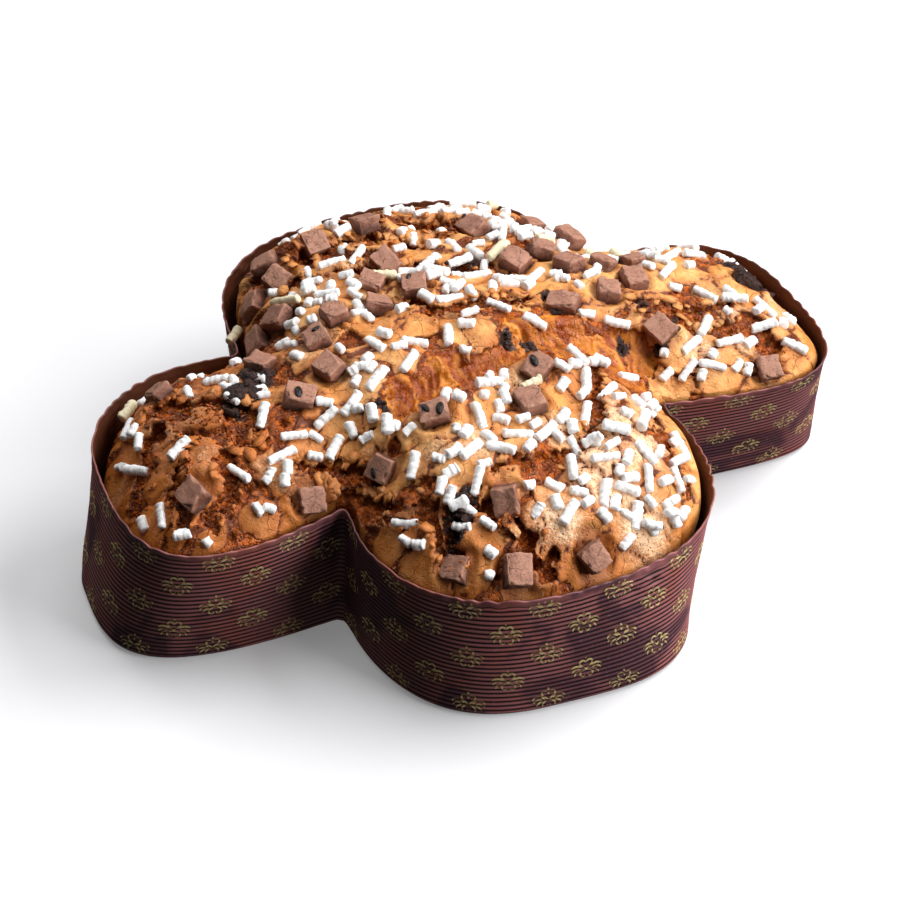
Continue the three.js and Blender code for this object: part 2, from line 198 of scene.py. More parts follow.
def through(a: Array, b: Array, c: Array, d: Array, share: Array) -> Array:
    """Places on the smooth curve from b to c that comes from a and goes on to d."""
    bend = 2 * a - 5 * b + 4 * c - d + share * (3 * (b - c) + d - a)
    return b + 0.5 * share * (c - a + share * bend)


def over_plan(draws: Array, reach: Array) -> Array:
    """Places all over the plan, out to a reach, from two random numbers for each."""
    return (2 * draws[:, :2] - 1) * reach


def line_distance(points: Array, line: Array) -> Array:
    """The least distance from each place to a line of straight stretches."""
    least = np.full(points.shape[:-1], 1e9)
    for a, b in zip(line[:-1], line[1:]):
        run = b - a
        share = np.clip(((points - a) @ run) / (run @ run), 0.0, 1.0)
        least = np.minimum(least, np.linalg.norm(points - a - share[..., None] * run, axis=-1))
    return least


# ---- meshes ----


def shown(name: str, data: object) -> Object:
    """A new object in the scene."""
    made = bpy.data.objects.new(name, data)
    bpy.context.scene.collection.objects.link(made)
    return made


class MeshParts:
    """Collects points, faces and values, and makes one mesh of them."""

    def __init__(self) -> None:
        """Starts empty."""
        self.points: list[Array] = []
        self.quads: list[Array] = []
        self.triangles: list[Array] = []
        self.values: dict[str, list[Array]] = {}
        self.count = 0

    def add(self, points: Array, **values: Array | float) -> Array:
        """Adds places in mm, seen from the crossing.

        Args:
            points: the places, with any shape before the last axis.
            values: one number for each place, or one for all of them, under its attribute's name.

        Returns:
            The number of each point, in the shape that the places had.
        """
        flat = points.reshape(-1, 3)
        numbers = np.arange(self.count, self.count + len(flat)).reshape(points.shape[:-1])
        self.points.append(flat)
        for name, value in values.items():
            self.values.setdefault(name, []).append(np.broadcast_to(value, points.shape[:-1]).ravel())
        self.count += len(flat)
        return numbers

    def face(self, *corners: Array) -> None:
        """Adds faces with three or four corners, each an array of point numbers."""
        faces = np.stack([corner.ravel() for corner in corners], axis=-1)
        (self.quads if len(corners) == 4 else self.triangles).append(faces)

    def band(self, lower: Array, upper: Array) -> None:
        """Joins two closed rings, where the second has as many points or half as many."""
        after = np.roll(upper, -1)
        if len(lower) == len(upper):
            self.face(lower, np.roll(lower, -1), after, upper)
            return
        even, odd = lower[0::2], lower[1::2]
        self.face(even, odd, upper)
        self.face(odd, after, upper)
        self.face(odd, np.roll(even, -1), after)

    def rings(self, numbers: Array) -> None:
        """Joins rows of point numbers, each row a closed ring."""
        for lower, upper in zip(numbers[:-1], numbers[1:]):
            self.band(lower, upper)

    def fan(self, ring: Array, centre: Array) -> None:
        """Closes a ring with triangles to one point."""
        self.face(ring, np.roll(ring, -1), np.full_like(ring, centre.ravel()[0]))

    def closed(self, rows: Array, **values: float) -> None:
        """Adds rows of rings as a closed skin, with a point in the middle of its two end rings."""
        numbers = self.add(rows, **values)
        self.rings(numbers)
        self.fan(numbers[-1], self.add(rows[-1].mean(axis=0), **values))
        self.fan(numbers[0][::-1], self.add(rows[0].mean(axis=0), **values))

    def build(self, name: str, material: Material, slot: Slot) -> Object:
        """Makes the object, smooth and dressed, in metres in the frame, and lets it ride."""
        points = (np.concatenate(self.points) + CROSSING) * MM
        faces = [*self.quads, *self.triangles]
        loops = np.concatenate([part.ravel() for part in faces]).astype(np.int32)
        sizes = np.concatenate([np.full(len(part), part.shape[1]) for part in faces])
        mesh = bpy.data.meshes.new(name)
        mesh.vertices.add(len(points))
        mesh.vertices.foreach_set("co", points.ravel())
        mesh.loops.add(len(loops))
        mesh.loops.foreach_set("vertex_index", loops)
        mesh.polygons.add(len(sizes))
        mesh.polygons.foreach_set("loop_start", np.concatenate([[0], np.cumsum(sizes)[:-1]]))
        mesh.update(calc_edges=True)
        mesh.polygons.foreach_set("use_smooth", np.ones(len(sizes), dtype=bool))
        for key, parts in self.values.items():
            layer = mesh.attributes.new(key, "FLOAT", "POINT")
            layer.data.foreach_set("value", np.concatenate(parts).astype(np.float32))
        mesh.materials.append(material)
        made = shown(name, mesh)
        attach(made, BODY)
        log.info("%s: %d points, %d faces", name, len(points), len(sizes))
        return made


# ---- the plan of the case, from its solid ----


class Plan:
    """The outline of the paper wall at its foot and at its rim, read from the case's solid."""

    FINE = 2448  # points of the smooth outline

    def __init__(self, node: str) -> None:
        """Reads the two outlines of a case's node and smooths them."""
        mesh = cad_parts[node].data
        places = np.array([vertex.co for vertex in mesh.vertices]) / MM - CROSSING
        foot_z, self.rim_height = places[:, 2].min(), places[:, 2].max()
        edges = np.array([edge.vertices for edge in mesh.edges])
        heights = places[edges][..., 2]
        on_wall = (np.abs(heights[:, 0] - heights[:, 1]) > 0.9 * self.rim_height) & (
            heights.min(axis=1) < foot_z + 0.5
        )
        wall = places[edges[on_wall].ravel()]
        self.rim_corners = self.ordered(wall[wall[:, 2] > 0.5 * self.rim_height])
        foot = self.ordered(wall[wall[:, 2] < 0.5 * self.rim_height])
        turns = range(-3, 4)
        misfit = [np.linalg.norm(np.roll(foot, turn, axis=0) - self.rim_corners) for turn in turns]
        self.rim = self.smooth(self.rim_corners)
        self.foot = self.smooth(np.roll(foot, turns[int(np.argmin(misfit))], axis=0))
        middle = 0.5 * (self.rim + self.foot)
        steps = np.linalg.norm(np.roll(middle, -1, axis=0) - middle, axis=1)
        self.runs = np.concatenate([[0.0], np.cumsum(steps)])
        self.length = float(self.runs[-1])  # round the wall, half way up

    @staticmethod
    def ordered(places: Array) -> Array:
        """The different places on the plan, in order round the crossing."""
        flat = np.unique(np.round(places[:, :2], 2), axis=0)
        return flat[np.argsort(np.arctan2(flat[:, 1], flat[:, 0]))]

    @classmethod
    def smooth(cls, ring: Array) -> Array:
        """A closed curve through a ring of points, as FINE points."""
        place = np.arange(cls.FINE) * len(ring) / cls.FINE
        index = place.astype(int)
        share = (place - index)[:, None]
        return through(*(ring[(index + k) % len(ring)] for k in (-1, 0, 1, 2)), share)

    def outline(self, run: Array, height: Array) -> Array:
        """The place on the plan of the wall.

        Args:
            run: how far round the wall, in mm of the outline half way up.
            height: height above the ground.
        """
        number = np.interp(np.mod(run, self.length), self.runs, np.arange(self.FINE + 1))
        index = number.astype(int) % self.FINE
        share = (number - number.astype(int))[..., None]
        after = (index + 1) % self.FINE
        rise = np.minimum(height / self.rim_height, 1.0)[..., None]
        rim = self.rim[index] * (1 - share) + self.rim[after] * share
        foot = self.foot[index] * (1 - share) + self.foot[after] * share
        return foot + (rim - foot) * rise

    def wall(self, run: Array, height: Array, outwards: Array | float = 0.0) -> Array:
        """Places on the wall, moved outwards along its normal on the plan."""
        run, height = np.broadcast_arrays(run, height)
        ahead = normed(self.outline(run + 0.8, height) - self.outline(run - 0.8, height))
        normal = np.stack([ahead[..., 1], -ahead[..., 0]], axis=-1)
        flat = self.outline(run, height) + normal * np.asarray(outwards)[..., None]
        return np.concatenate([flat, height[..., None]], axis=-1)

    def angle_run(self, angle: float) -> float:
        """How far round the wall an angle in degrees, seen from the crossing, lies."""
        middle = 0.5 * (self.rim + self.foot)
        turn = np.radians(angle) - np.arctan2(middle[:, 1], middle[:, 0])
        return float(self.runs[int(np.argmax(np.cos(turn)))])


# ---- the surface of the top, as the solid has it ----


@dataclass(frozen=True)
class Dip:
    """Where the crust meets the paper lower or, with a negative depth, swells over it."""

    angle: float
    depth: float
    spread: float

    def at(self, angle: Array) -> Array:
        """Its depth at angles in degrees."""
        turn = np.mod(angle - self.angle + 180.0, 360.0) - 180.0
        return self.depth * np.exp(-0.5 * (turn / self.spread) ** 2)


@dataclass(frozen=True)
class Split:
    """An opening in the crust, along a line on the plan."""

    width: float
    depth: float
    line: tuple[tuple[float, float], ...]

    def distance(self, points: Array) -> Array:
        """How far places lie from its line."""
        return line_distance(points, np.array(self.line, dtype=float))

    def share(self, points: Array) -> Array:
        """How far into it places are: 0 outside it, 1 along its line."""
        return 1.0 - ramp(0.15 * self.width, 0.62 * self.width, self.distance(points))


@dataclass(frozen=True)
class Wave:
    """A slow wave over the whole crust; its heading is in degrees."""

    height: float
    length: float
    heading: float


@dataclass(frozen=True)
class Zone:
    """A round place on the plan that fades out over its reach, with a share at its middle."""

    x: float
    y: float
    reach: float
    share: float = 1.0

    def strength(self, points: Array) -> Array:
        """Its share at places on the plan."""
        away = np.hypot(points[..., 0] - self.x, points[..., 1] - self.y)
        return self.share * np.exp(-0.5 * (away / self.reach) ** 2)


Zones = tuple[Zone, ...]


def round_zones(*places: tuple[float, ...]) -> Zones:
    """Zones from their places, reaches and, if not 1, shares."""
    return tuple(Zone(*place) for place in places)


def strongest(among: Zones, points: Array) -> Array:
    """The largest share that any of some zones has at places on the plan."""
    return np.max([zone.strength(points) for zone in among], axis=0)


TEAR = Split(17, 6, ((-35, -24), (-6, -21), (20, -14), (44, -19), (60, -23)))
SPLITS = (
    TEAR,
    Split(12, 5, ((-27, -72), (-19, -88), (-16, -98))),
    Split(7, 3, ((-18, -65), (9, -68), (23, -57), (33, -34))),
    Split(7, 3, ((47, -52), (43, -70), (43, -85))),
    Split(7, 3, ((-73, -27), (-61, -32), (-50, -43))),
    Split(10, 5, ((-63, -40), (-52, -58), (-42, -70), (-42, -82))),
    Split(8, 3, ((-112, 11), (-121, -3), (-125, -9))),
    Split(7, 3, ((-110, -11), (-116, -21), (-114, -30))),
    Split(8, 3, ((-95, -13), (-99, -25), (-107, -32))),
    Split(22, 3, ((-106, 15), (-88, -6))),
    Split(9, 3, ((67, -7), (84, -13), (98, -14))),
    Split(7, 3, ((91, -24), (105, -23), (110, -34))),
    Split(9, 4, ((-36, 66), (-12, 66), (12, 57))),
    Split(8, 4, ((-45, 55), (-5, 43), (18, 34))),
    Split(10, 4, ((-12, 82), (10, 74), (28, 62))),
    Split(10, 3, ((-16, 23), (-4, 9), (26, 7))),
)


@dataclass(frozen=True)
class TopSurface:
    """The height of the cake's top over the plan, by the same rule as its solid."""

    plan: Plan
    inset: float = 1.7  # paper and gap between the wall's outside and the cake
    contact: float = 54.0
    crown_spread: float = 30.0
    shoulder: float = 36.0
    shoulder_power: float = 2.2
    dips: tuple[Dip, ...] = (
        Dip(180, 13, 13), Dip(150, 6, 14), Dip(100, 8, 24), Dip(2, 5, 12), Dip(-62, 4, 12),
        Dip(33, -12, 7.5), Dip(139, -6, 6), Dip(-148, -4, 6), Dip(-40, -4, 7),
    )
    crown: tuple[tuple[float, float, float], ...] = (
        (0, -5, 88), (-100, 2, 69), (-55, 0, 80), (100, 0, 67.5), (62, 5, 79),
        (0, -78, 77), (-8, 72, 79), (52, 36, 80), (38, 72, 66),
    )
    waves: tuple[Wave, ...] = (Wave(0.8, 47, 20), Wave(0.7, 34, 95), Wave(0.6, 27, -40), Wave(0.5, 21, 63))

    def edge_distance(self, points: Array) -> Array:
        """How far places lie from the paper, on the plan, with the solid's own corners."""
        ring = self.plan.rim_corners
        along = normed(np.roll(ring, -1, axis=0) - np.roll(ring, 1, axis=0))
        ring = ring + self.inset * np.stack([-along[:, 1], along[:, 0]], axis=1)
        return line_distance(points, np.concatenate([ring, ring[:1]]))

    def contact_height(self, points: Array) -> Array:
        """The height at which the crust meets the paper in each place's direction."""
        angle = np.degrees(np.arctan2(points[..., 1], points[..., 0]))
        height = np.full(angle.shape, self.contact)
        for dip in self.dips:
            height -= dip.at(angle)
        return height

    def crown_height(self, points: Array) -> Array:
        """The height of the dome away from the paper."""
        weights = np.zeros(points.shape[:-1])
        total = weights.copy()
        for x, y, z in self.crown:
            away = (points[..., 0] - x) ** 2 + (points[..., 1] - y) ** 2
            weight = np.exp(-away / (2 * self.crown_spread**2))
            weights += weight
            total += weight * z
        return total / weights

    def relief(self, points: Array) -> Array:
        """Waves and splits."""
        height = np.zeros(points.shape[:-1])
        for wave in self.waves:
            heading = math.radians(wave.heading)
            across = points[..., 0] * math.cos(heading) + points[..., 1] * math.sin(heading)
            height += wave.height * np.sin(TURN * across / wave.length)
        for split in SPLITS:
            height -= split.depth * split.share(points)
        return height

    def height(self, points: Array) -> Array:
        """The height of the top at places on the plan."""
        inwards = np.minimum(self.edge_distance(points) / self.shoulder, 1.0)
        rise = 1.0 - (1.0 - inwards) ** self.shoulder_power
        contact = self.contact_height(points)
        dome = contact + (self.crown_height(points) - contact) * rise
        return dome + self.relief(points) * np.minimum(3.0 * inwards, 1.0)

    def heading(self, points: Array, angle: Array) -> Array:
        """Directions along the top that an angle on the plan gives."""
        normal = self.normal(points)
        side = np.stack([np.cos(angle), np.sin(angle), np.zeros(len(points))], axis=1)
        return normed(side - normal * (side * normal).sum(axis=1, keepdims=True))

    def normal(self, points: Array, step: float = 4.0) -> Array:
        """Which way the top faces at places on the plan."""
        east, north = np.array([step, 0.0]), np.array([0.0, step])
        slope_x = (self.height(points + east) - self.height(points - east)) / (2 * step)
        slope_y = (self.height(points + north) - self.height(points - north)) / (2 * step)
        return normed(np.stack([-slope_x, -slope_y, np.ones_like(slope_x)], axis=-1))


# ---- shader trees ----


class Tree:
    """Adds nodes to one shader tree and wires them."""

    def __init__(self, tree: NodeTree) -> None:
        """Takes the tree to add to."""
        self.tree = tree

    def add(self, kind: str, wires: dict | None = None, **settings: object) -> Node:
        """Adds one node.

        Args:
            kind: the node's type, without ShaderNode before it.
            wires: a value or another node's output for each input, by its name or place.
            settings: properties of the node.
        """
        node = self.tree.nodes.new("ShaderNode" + kind)
        for name, value in settings.items():
            setattr(node, name, value)
        for name, value in (wires or {}).items():
            self.set(node.inputs[name], value)
        return node

    def set(self, socket: NodeSocket, value: object) -> None:
        """Wires another node's output to an input, or sets its value; a colour gets its alpha."""
        if isinstance(value, NodeSocket):
            self.tree.links.new(value, socket)
        elif socket.type == "RGBA":
            socket.default_value = (*value, 1.0)
        else:
            socket.default_value = value

    def math(self, operation: str, *values: object) -> NodeSocket:
        """The result of one sum."""
        return self.add("Math", dict(enumerate(values)), operation=operation).outputs[0]

    def plus(self, first: object, second: object) -> NodeSocket:
        """Two values added."""
        return self.math("ADD", first, second)

    def minus(self, first: object, second: object) -> NodeSocket:
        """The first value less the second."""
        return self.math("SUBTRACT", first, second)

    def times(self, first: object, second: object) -> NodeSocket:
        """Two values multiplied."""
        return self.math("MULTIPLY", first, second)

    def most(self, first: object, second: object) -> NodeSocket:
        """The larger of two values."""
        return self.math("MAXIMUM", first, second)

    def mix(self, share: object, first: object, second: object, strength: float = 1.0) -> NodeSocket:
        """A colour between two, by a share of some strength."""
        share = share if strength == 1.0 else self.times(share, strength)
        return self.add("Mix", {0: share, 6: first, 7: second}, data_type="RGBA").outputs[2]

    def step(self, low: float, high: float, value: object) -> NodeSocket:
        """0 below low and 1 above high, smooth between."""
        wires = {"Value": value, "From Min": low, "From Max": high}
        return self.add("MapRange", wires, interpolation_type="SMOOTHSTEP").outputs[0]

    def place(self) -> NodeSocket:
        """The place on the piece, in metres."""
        return self.add("TexCoord").outputs["Object"]

    def value(self, name: str) -> NodeSocket:
        """A value that the mesh holds."""
        return self.add("Attribute", attribute_name=name).outputs["Fac"]

    def noise(self, size: float, detail: float = 3.0, rough: float = 0.55) -> NodeSocket:
        """Noise whose widest hills are about a size in mm."""
        wires = {"Vector": self.place(), "Scale": 1.0 / (size * MM), "Detail": detail, "Roughness": rough}
        return self.add("TexNoise", wires).outputs[0]

    def shaken(self, scale: object, reach: float) -> NodeSocket:
        """The place, moved about by noise of a scale, up to about half a reach in metres."""
        turns = self.add("TexNoise", {"Vector": self.place(), "Scale": scale}).outputs["Color"]
        centred = self.add("VectorMath", {0: turns, 1: (0.5, 0.5, 0.5)}, operation="SUBTRACT").outputs[0]
        moved = self.add("VectorMath", {0: centred, "Scale": reach}, operation="SCALE").outputs[0]
        return self.add("VectorMath", {0: self.place(), 1: moved}, operation="ADD").outputs[0]

    def group(self, tree: NodeTree, **values: object) -> Node:
        """Places a shader group, with its inputs by name, _ for a space."""
        node = self.tree.nodes.new("ShaderNodeGroup")
        node.node_tree = tree
        for name, value in values.items():
            self.set(node.inputs[name.replace("_", " ")], value)
        return node


def linear(red: int, green: int, blue: int) -> Colour:
    """A colour given by its three display values, as shaders take it."""
    parts = [value / 255.0 for value in (red, green, blue)]
    return tuple(p / 12.92 if p <= 0.04045 else ((p + 0.055) / 1.055) ** 2.4 for p in parts)


class Effects:
    """The shader groups that more than one finish uses, each built once."""

    def __init__(self) -> None:
        """Builds the groups."""
        self.grain = self.build_grain()
        self.patches = self.build_patches()
        self.pits = self.build_pits()
        self.crackle = self.build_crackle()
        self.clumps = self.build_clumps()

    @staticmethod
    def start(name: str, **inputs: float) -> tuple[Tree, Sockets, NodeSocket]:
        """Makes a group that has number inputs.

        Args:
            name: the group's name.
            inputs: each input with its usual value, and among them Size in mm.

        Returns:
            Its tree, its inputs, and the scale that gives a texture the Size.
        """
        tree = bpy.data.node_groups.new(name, "ShaderNodeTree")
        for key, value in inputs.items():
            socket = tree.interface.new_socket(key, in_out="INPUT", socket_type="NodeSocketFloat")
            socket.default_value = value
        given = tree.nodes.new("NodeGroupInput").outputs
        return Tree(tree), given, Tree(tree).math("DIVIDE", 1.0 / MM, given["Size"])

    @staticmethod
    def end(tree: Tree, **outputs: NodeSocket) -> NodeTree:
        """Gives a group its number outputs."""
        for key in outputs:
            tree.tree.interface.new_socket(key, in_out="OUTPUT", socket_type="NodeSocketFloat")
        made = tree.tree.nodes.new("NodeGroupOutput")
        for key, value in outputs.items():
            tree.set(made.inputs[key], value)
        return tree.tree

    def build_grain(self) -> NodeTree:
        """Fine uneven grain: a height, and a mask of its hollows. Size is in mm."""
        tree, given, scale = self.start("fine_grain", Size=1.0, Roughness=0.6)
        wires = {"Vector": tree.place(), "Scale": scale, "Detail": 4.0, "Roughness": given["Roughness"]}
        height = tree.add("TexNoise", wires).outputs[0]
        return self.end(tree, Height=height, Hollows=tree.step(0.5, 0.36, height))

    def build_patches(self) -> NodeTree:
        """Large soft patches, as a mask from 0 to 1. Size is in mm, and Cover is the share it fills."""
        tree, given, scale = self.start("soft_patches", Size=20.0, Cover=0.5, Softness=0.15)
        wires = {"Vector": tree.place(), "Scale": scale, "Detail": 3.0, "Distortion": 0.6}
        hills = tree.add("TexNoise", wires).outputs[0]
        level = tree.minus(0.75, tree.times(given["Cover"], 0.5))
        low, high = tree.minus(level, given["Softness"]), tree.plus(level, given["Softness"])
        return self.end(tree, Mask=tree.step(low, high, hills))

    def build_pits(self) -> NodeTree:
        """Small round pits: a mask that is 1 in a pit. Size is their spacing in mm."""
        tree, given, scale = self.start("pits", Size=1.5, Width=0.3, Share=0.5)
        cells = tree.add("TexVoronoi", {"Vector": tree.place(), "Scale": scale})
        own = tree.add("SeparateColor", {0: cells.outputs["Color"]}).outputs[0]
        kept = tree.math("LESS_THAN", own, given["Share"])
        width = tree.times(given["Width"], tree.plus(0.5, own))
        near = tree.step(width, tree.times(width, 0.4), cells.outputs["Distance"])
        return self.end(tree, Mask=tree.times(near, kept))

    def build_crackle(self) -> NodeTree:
        """Hairline cracks: a mask that is 1 along them. Size, their spacing, and Width are in mm."""
        tree, given, scale = self.start("crackle", Size=6.0, Width=0.15)
        shaken = tree.shaken(tree.times(scale, 1.6), 2.6 * MM)
        cells = tree.add("TexVoronoi", {"Vector": shaken, "Scale": scale}, feature="DISTANCE_TO_EDGE")
        width = tree.math("DIVIDE", given["Width"], given["Size"])
        return self.end(tree, Mask=tree.step(width, 0.0, cells.outputs["Distance"]))

    def build_clumps(self) -> NodeTree:
        """Crumbly clumps: a height, and a tone that each has of its own. Size is their width in mm."""
        tree, given, scale = self.start("clumps", Size=1.5, Fine=0.8)
        shaken = tree.shaken(tree.times(scale, 0.9), 0.9 * MM)
        cells = tree.add("TexVoronoi", {"Vector": shaken, "Scale": scale})
        rounded = tree.minus(1.0, cells.outputs["Distance"])
        fine = tree.times(tree.noise(0.7, 3.0, 0.65), given["Fine"])
        own = tree.add("SeparateColor", {0: cells.outputs["Color"]}).outputs[0]
        return self.end(tree, Height=tree.plus(rounded, fine), Tone=own)


class Finish:
    """A material with one Principled shader, wired by the finish that uses it."""

    def __init__(self, name: str) -> None:
        """Makes the material and clears its tree."""
        self.material = bpy.data.materials.new(name)
        self.material.use_nodes = True
        self.material.node_tree.nodes.clear()
        self.tree = Tree(self.material.node_tree)

    def shade(self, colour: object, roughness: object, height: object = None, depth: float = 0.3,
              **constants: object) -> Material:
        """Ends the tree in its shader.

        Args:
            colour: the base colour or its socket.
            roughness: the roughness or its socket.
            height: what a bump follows, if anything.
            depth: how far the bump reaches, in mm.
            constants: other inputs of the shader, _ for a space.

        Returns:
            The material.
        """
        wires = {"Base Color": colour, "Roughness": roughness}
        wires |= {key.replace("_", " "): value for key, value in constants.items()}
        if height is not None:
            bump = self.tree.add("Bump", {"Strength": 1.0, "Distance": depth * MM, "Height": height})
            wires["Normal"] = bump.outputs[0]
        shader = self.tree.add("BsdfPrincipled", wires)
        self.tree.add("OutputMaterial", {"Surface": shader.outputs[0]})
        return self.material


@dataclass(frozen=True)
class PaperFinish:
    """Dark mauve-brown baking paper, stained in places, brown inside, with a painted highlight along each
    rib's crest and painted shade, nearly black, in the grooves between the ribs.
    """

    effects: Effects
    # ridge is the paper's colour and also its painted highlight on the crests; groove is painted shade in
    # the grooves.
    ridge: Colour = linear(170, 106, 107)
    groove: Colour = linear(24, 9, 12)
    stain: Colour = linear(76, 49, 66)
    toasted: Colour = linear(178, 96, 78)
    scuff: Colour = linear(190, 150, 148)
    lining: Colour = linear(104, 56, 34)
    lining_dark: Colour = linear(54, 26, 15)

    def build(self) -> Material:
        """The material."""
        finish = Finish("ribbed_paper")
        tree = finish.tree
        grain = tree.group(self.effects.grain, Size=0.5, Roughness=0.65).outputs["Height"]
        ribs = tree.value("rib")
        stained = tree.group(self.effects.patches, Size=34.0, Cover=0.42, Softness=0.05).outputs[0]
        toasted = tree.group(self.effects.patches, Size=22.0, Cover=0.40, Softness=0.09).outputs[0]
        outer = tree.mix(toasted, self.ridge, self.toasted, 0.55)
        outer = tree.mix(stained, outer, self.stain, 0.75)
        # Painted highlight and painted shade: only the crest of each rib keeps the lighter ridge colour,
        # and the rest of the rib goes to the near-black groove colour.
        depth = tree.step(0.99, 0.30, ribs)
        outer = tree.mix(depth, outer, self.groove)
        scuffs = tree.times(tree.step(0.58, 0.72, tree.noise(1.6, 4.0, 0.7)), ribs)
        outer = tree.mix(scuffs, outer, self.scuff, 0.35)
        inner = tree.mix(tree.noise(9.0), self.lining_dark, self.lining)
        colour = tree.mix(tree.value("inside"), outer, inner)
        rough = tree.plus(0.38, tree.times(grain, 0.25))
        return finish.shade(colour, rough, grain, 0.10, Specular_IOR_Level=0.4)


@dataclass(frozen=True)
class GoldFinish:
    """Gold ink on the ridges of the paper, worn in places, with a painted highlight where a rib's crest
    catches the light and painted shade, the dark bare colour, where it dips into the grooves.
    """

    effects: Effects
    # bright is the painted highlight on the crests, worn the dimmer gold off them and where worn, and bare
    # the dark paper, also painted shade in the grooves.
    bright: Colour = linear(238, 214, 156)
    worn: Colour = linear(168, 134, 86)
    bare: Colour = linear(34, 18, 20)

    def build(self) -> Material:
        """The material."""
        finish = Finish("gold_ink")
        tree = finish.tree
        flecks = tree.noise(1.0, 3.0, 0.6)
        # Painted highlight and painted shade: the rib value makes the ink bright on each crest and dark
        # bare paper in each groove; the flecks and the noise below are wear.
        shown = tree.plus(tree.times(tree.value("rib"), 0.8), tree.times(flecks, 0.6))
        colour = tree.mix(tree.step(0.55, 1.05, shown), self.worn, self.bright)
        kept = tree.step(0.38, 0.54, shown)
        kept = tree.times(kept, tree.step(0.70, 0.58, tree.noise(2.2, 4.0, 0.7)))
        colour = tree.mix(kept, self.bare, colour)
        grain = tree.group(self.effects.grain, Size=0.4, Roughness=0.6).outputs["Height"]
        rough = tree.plus(0.30, tree.times(grain, 0.3))
        return finish.shade(colour, rough, grain, 0.04, Metallic=tree.times(kept, 0.4))


@dataclass(frozen=True)
class CrustFinish:
    """Matt sugar glaze in tan plates, over rough orange-brown crumb that shows where it has split."""

    effects: Effects
    glaze_light: Colour = linear(238, 180, 112)
    glaze: Colour = linear(224, 150, 76)
    glaze_dark: Colour = linear(190, 102, 28)
    toasted_edge: Colour = linear(168, 88, 28)
    porous: Colour = linear(246, 204, 164)
    porous_dark: Colour = linear(230, 168, 112)
    speck: Colour = linear(142, 68, 24)
    seam: Colour = linear(96, 40, 12)
    crumb: Colour = linear(200, 98, 24)
    dark_crumb_and_shade: Colour = linear(106, 42, 10)
    crumb_pale: Colour = linear(236, 164, 84)
    dough: Colour = linear(216, 134, 44)
    dough_dark: Colour = linear(144, 62, 10)
    burnt: Colour = linear(56, 31, 24)

    def masks(self, tree: Tree) -> Sockets:
        """What colour and relief go by: masks that the mesh holds, with ragged edges, and fine textures."""
        jag = tree.minus(tree.noise(1.3, 4.0, 0.65), 0.5)
        limits = {
            "crumb": (0.36, 0.58, 0.9), "tear": (0.30, 0.66, 0.8), "melt": (0.40, 0.56, 1.0),
            "crack": (0.30, 0.72, 0.8), "porous": (0.28, 0.70, 0.8),
        }
        masks = {}
        for name, (low, high, reach) in limits.items():
            level = tree.plus(tree.value(name), tree.times(jag, reach))
            masks[name] = tree.step(low, high, level)
        level = tree.plus(tree.value("crumb"), tree.times(jag, 0.9))
        masks["outline"] = tree.times(tree.step(0.10, 0.36, level), tree.step(0.95, 0.62, level))
        clumps = tree.group(self.effects.clumps, Size=1.9, Fine=0.9)
        masks["clump"], masks["tone"] = clumps.outputs["Height"], clumps.outputs["Tone"]
        masks["grain"] = tree.group(self.effects.grain, Size=0.9, Roughness=0.65).outputs["Height"]
        masks["hollows"] = tree.group(self.effects.grain, Size=2.2, Roughness=0.7).outputs["Hollows"]
        hairs = tree.group(self.effects.crackle, Size=7.0, Width=0.20).outputs[0]
        hairs = tree.times(hairs, tree.minus(1.0, masks["porous"]))
        masks["hairs"] = tree.times(hairs, tree.step(0.46, 0.56, tree.noise(8.0, 3.0)))
        pinholes = tree.group(self.effects.pits, Size=1.5, Width=0.26, Share=0.7).outputs[0]
        masks["pinholes"] = tree.times(pinholes, tree.step(0.46, 0.58, tree.noise(7.0, 3.0)))
        masks["pores"] = tree.group(self.effects.pits, Size=1.05, Width=0.42, Share=0.7).outputs[0]
        return masks

    def glaze_colour(self, tree: Tree, masks: Sockets) -> NodeSocket:
        """Tan plates, paler where bubbly, toasted at their edges and crossed by hairline cracks."""
        bake = tree.group(self.effects.patches, Size=22.0, Cover=0.5, Softness=0.18).outputs[0]
        toasted = tree.group(self.effects.patches, Size=7.0, Cover=0.40, Softness=0.16).outputs[0]
        colour = tree.mix(bake, self.glaze, self.glaze_light)
        colour = tree.mix(toasted, colour, self.glaze_dark, 0.6)
        colour = tree.mix(tree.value("bake"), colour, self.glaze_dark)
        colour = tree.mix(masks["hollows"], colour, self.toasted_edge, 0.3)
        bubbly = tree.mix(masks["hollows"], self.porous, self.porous_dark)
        colour = tree.mix(masks["porous"], colour, bubbly)
        holes = tree.times(masks["pores"], masks["porous"])
        holes = tree.most(masks["pinholes"], holes)
        colour = tree.mix(holes, colour, self.speck, 0.75)
        colour = tree.mix(tree.value("near"), colour, self.toasted_edge, 0.75)
        lines = tree.times(masks["hairs"], 0.4)
        lines = tree.most(lines, tree.times(masks["crack"], 0.9))
        return tree.mix(lines, colour, self.seam)

    def crumb_colour(self, tree: Tree, masks: Sockets) -> NodeSocket:
        """Oily orange-brown clumps, pale on some, with painted shade, nearly black, in the hollows between
        them.
        """
        colour = tree.mix(masks["tone"], self.dark_crumb_and_shade, self.crumb)
        pale = tree.step(0.56, 0.68, tree.noise(1.1, 3.0, 0.65))
        colour = tree.mix(pale, colour, self.crumb_pale, 0.5)
        # Painted shade: where the bumped clumps sink low, the crumb goes to its darkest colour.
        deep_shade = tree.step(0.95, 0.60, masks["clump"])
        return tree.mix(deep_shade, colour, self.dark_crumb_and_shade, 0.6)

    def dough_colour(self, tree: Tree, masks: Sockets) -> NodeSocket:
        """Golden strands of stretched dough."""
        strands = tree.step(0.24, 0.78, tree.value("strand"))
        colour = tree.mix(strands, self.dough_dark, self.dough)
        return tree.mix(masks["hollows"], colour, self.crumb, 0.5)

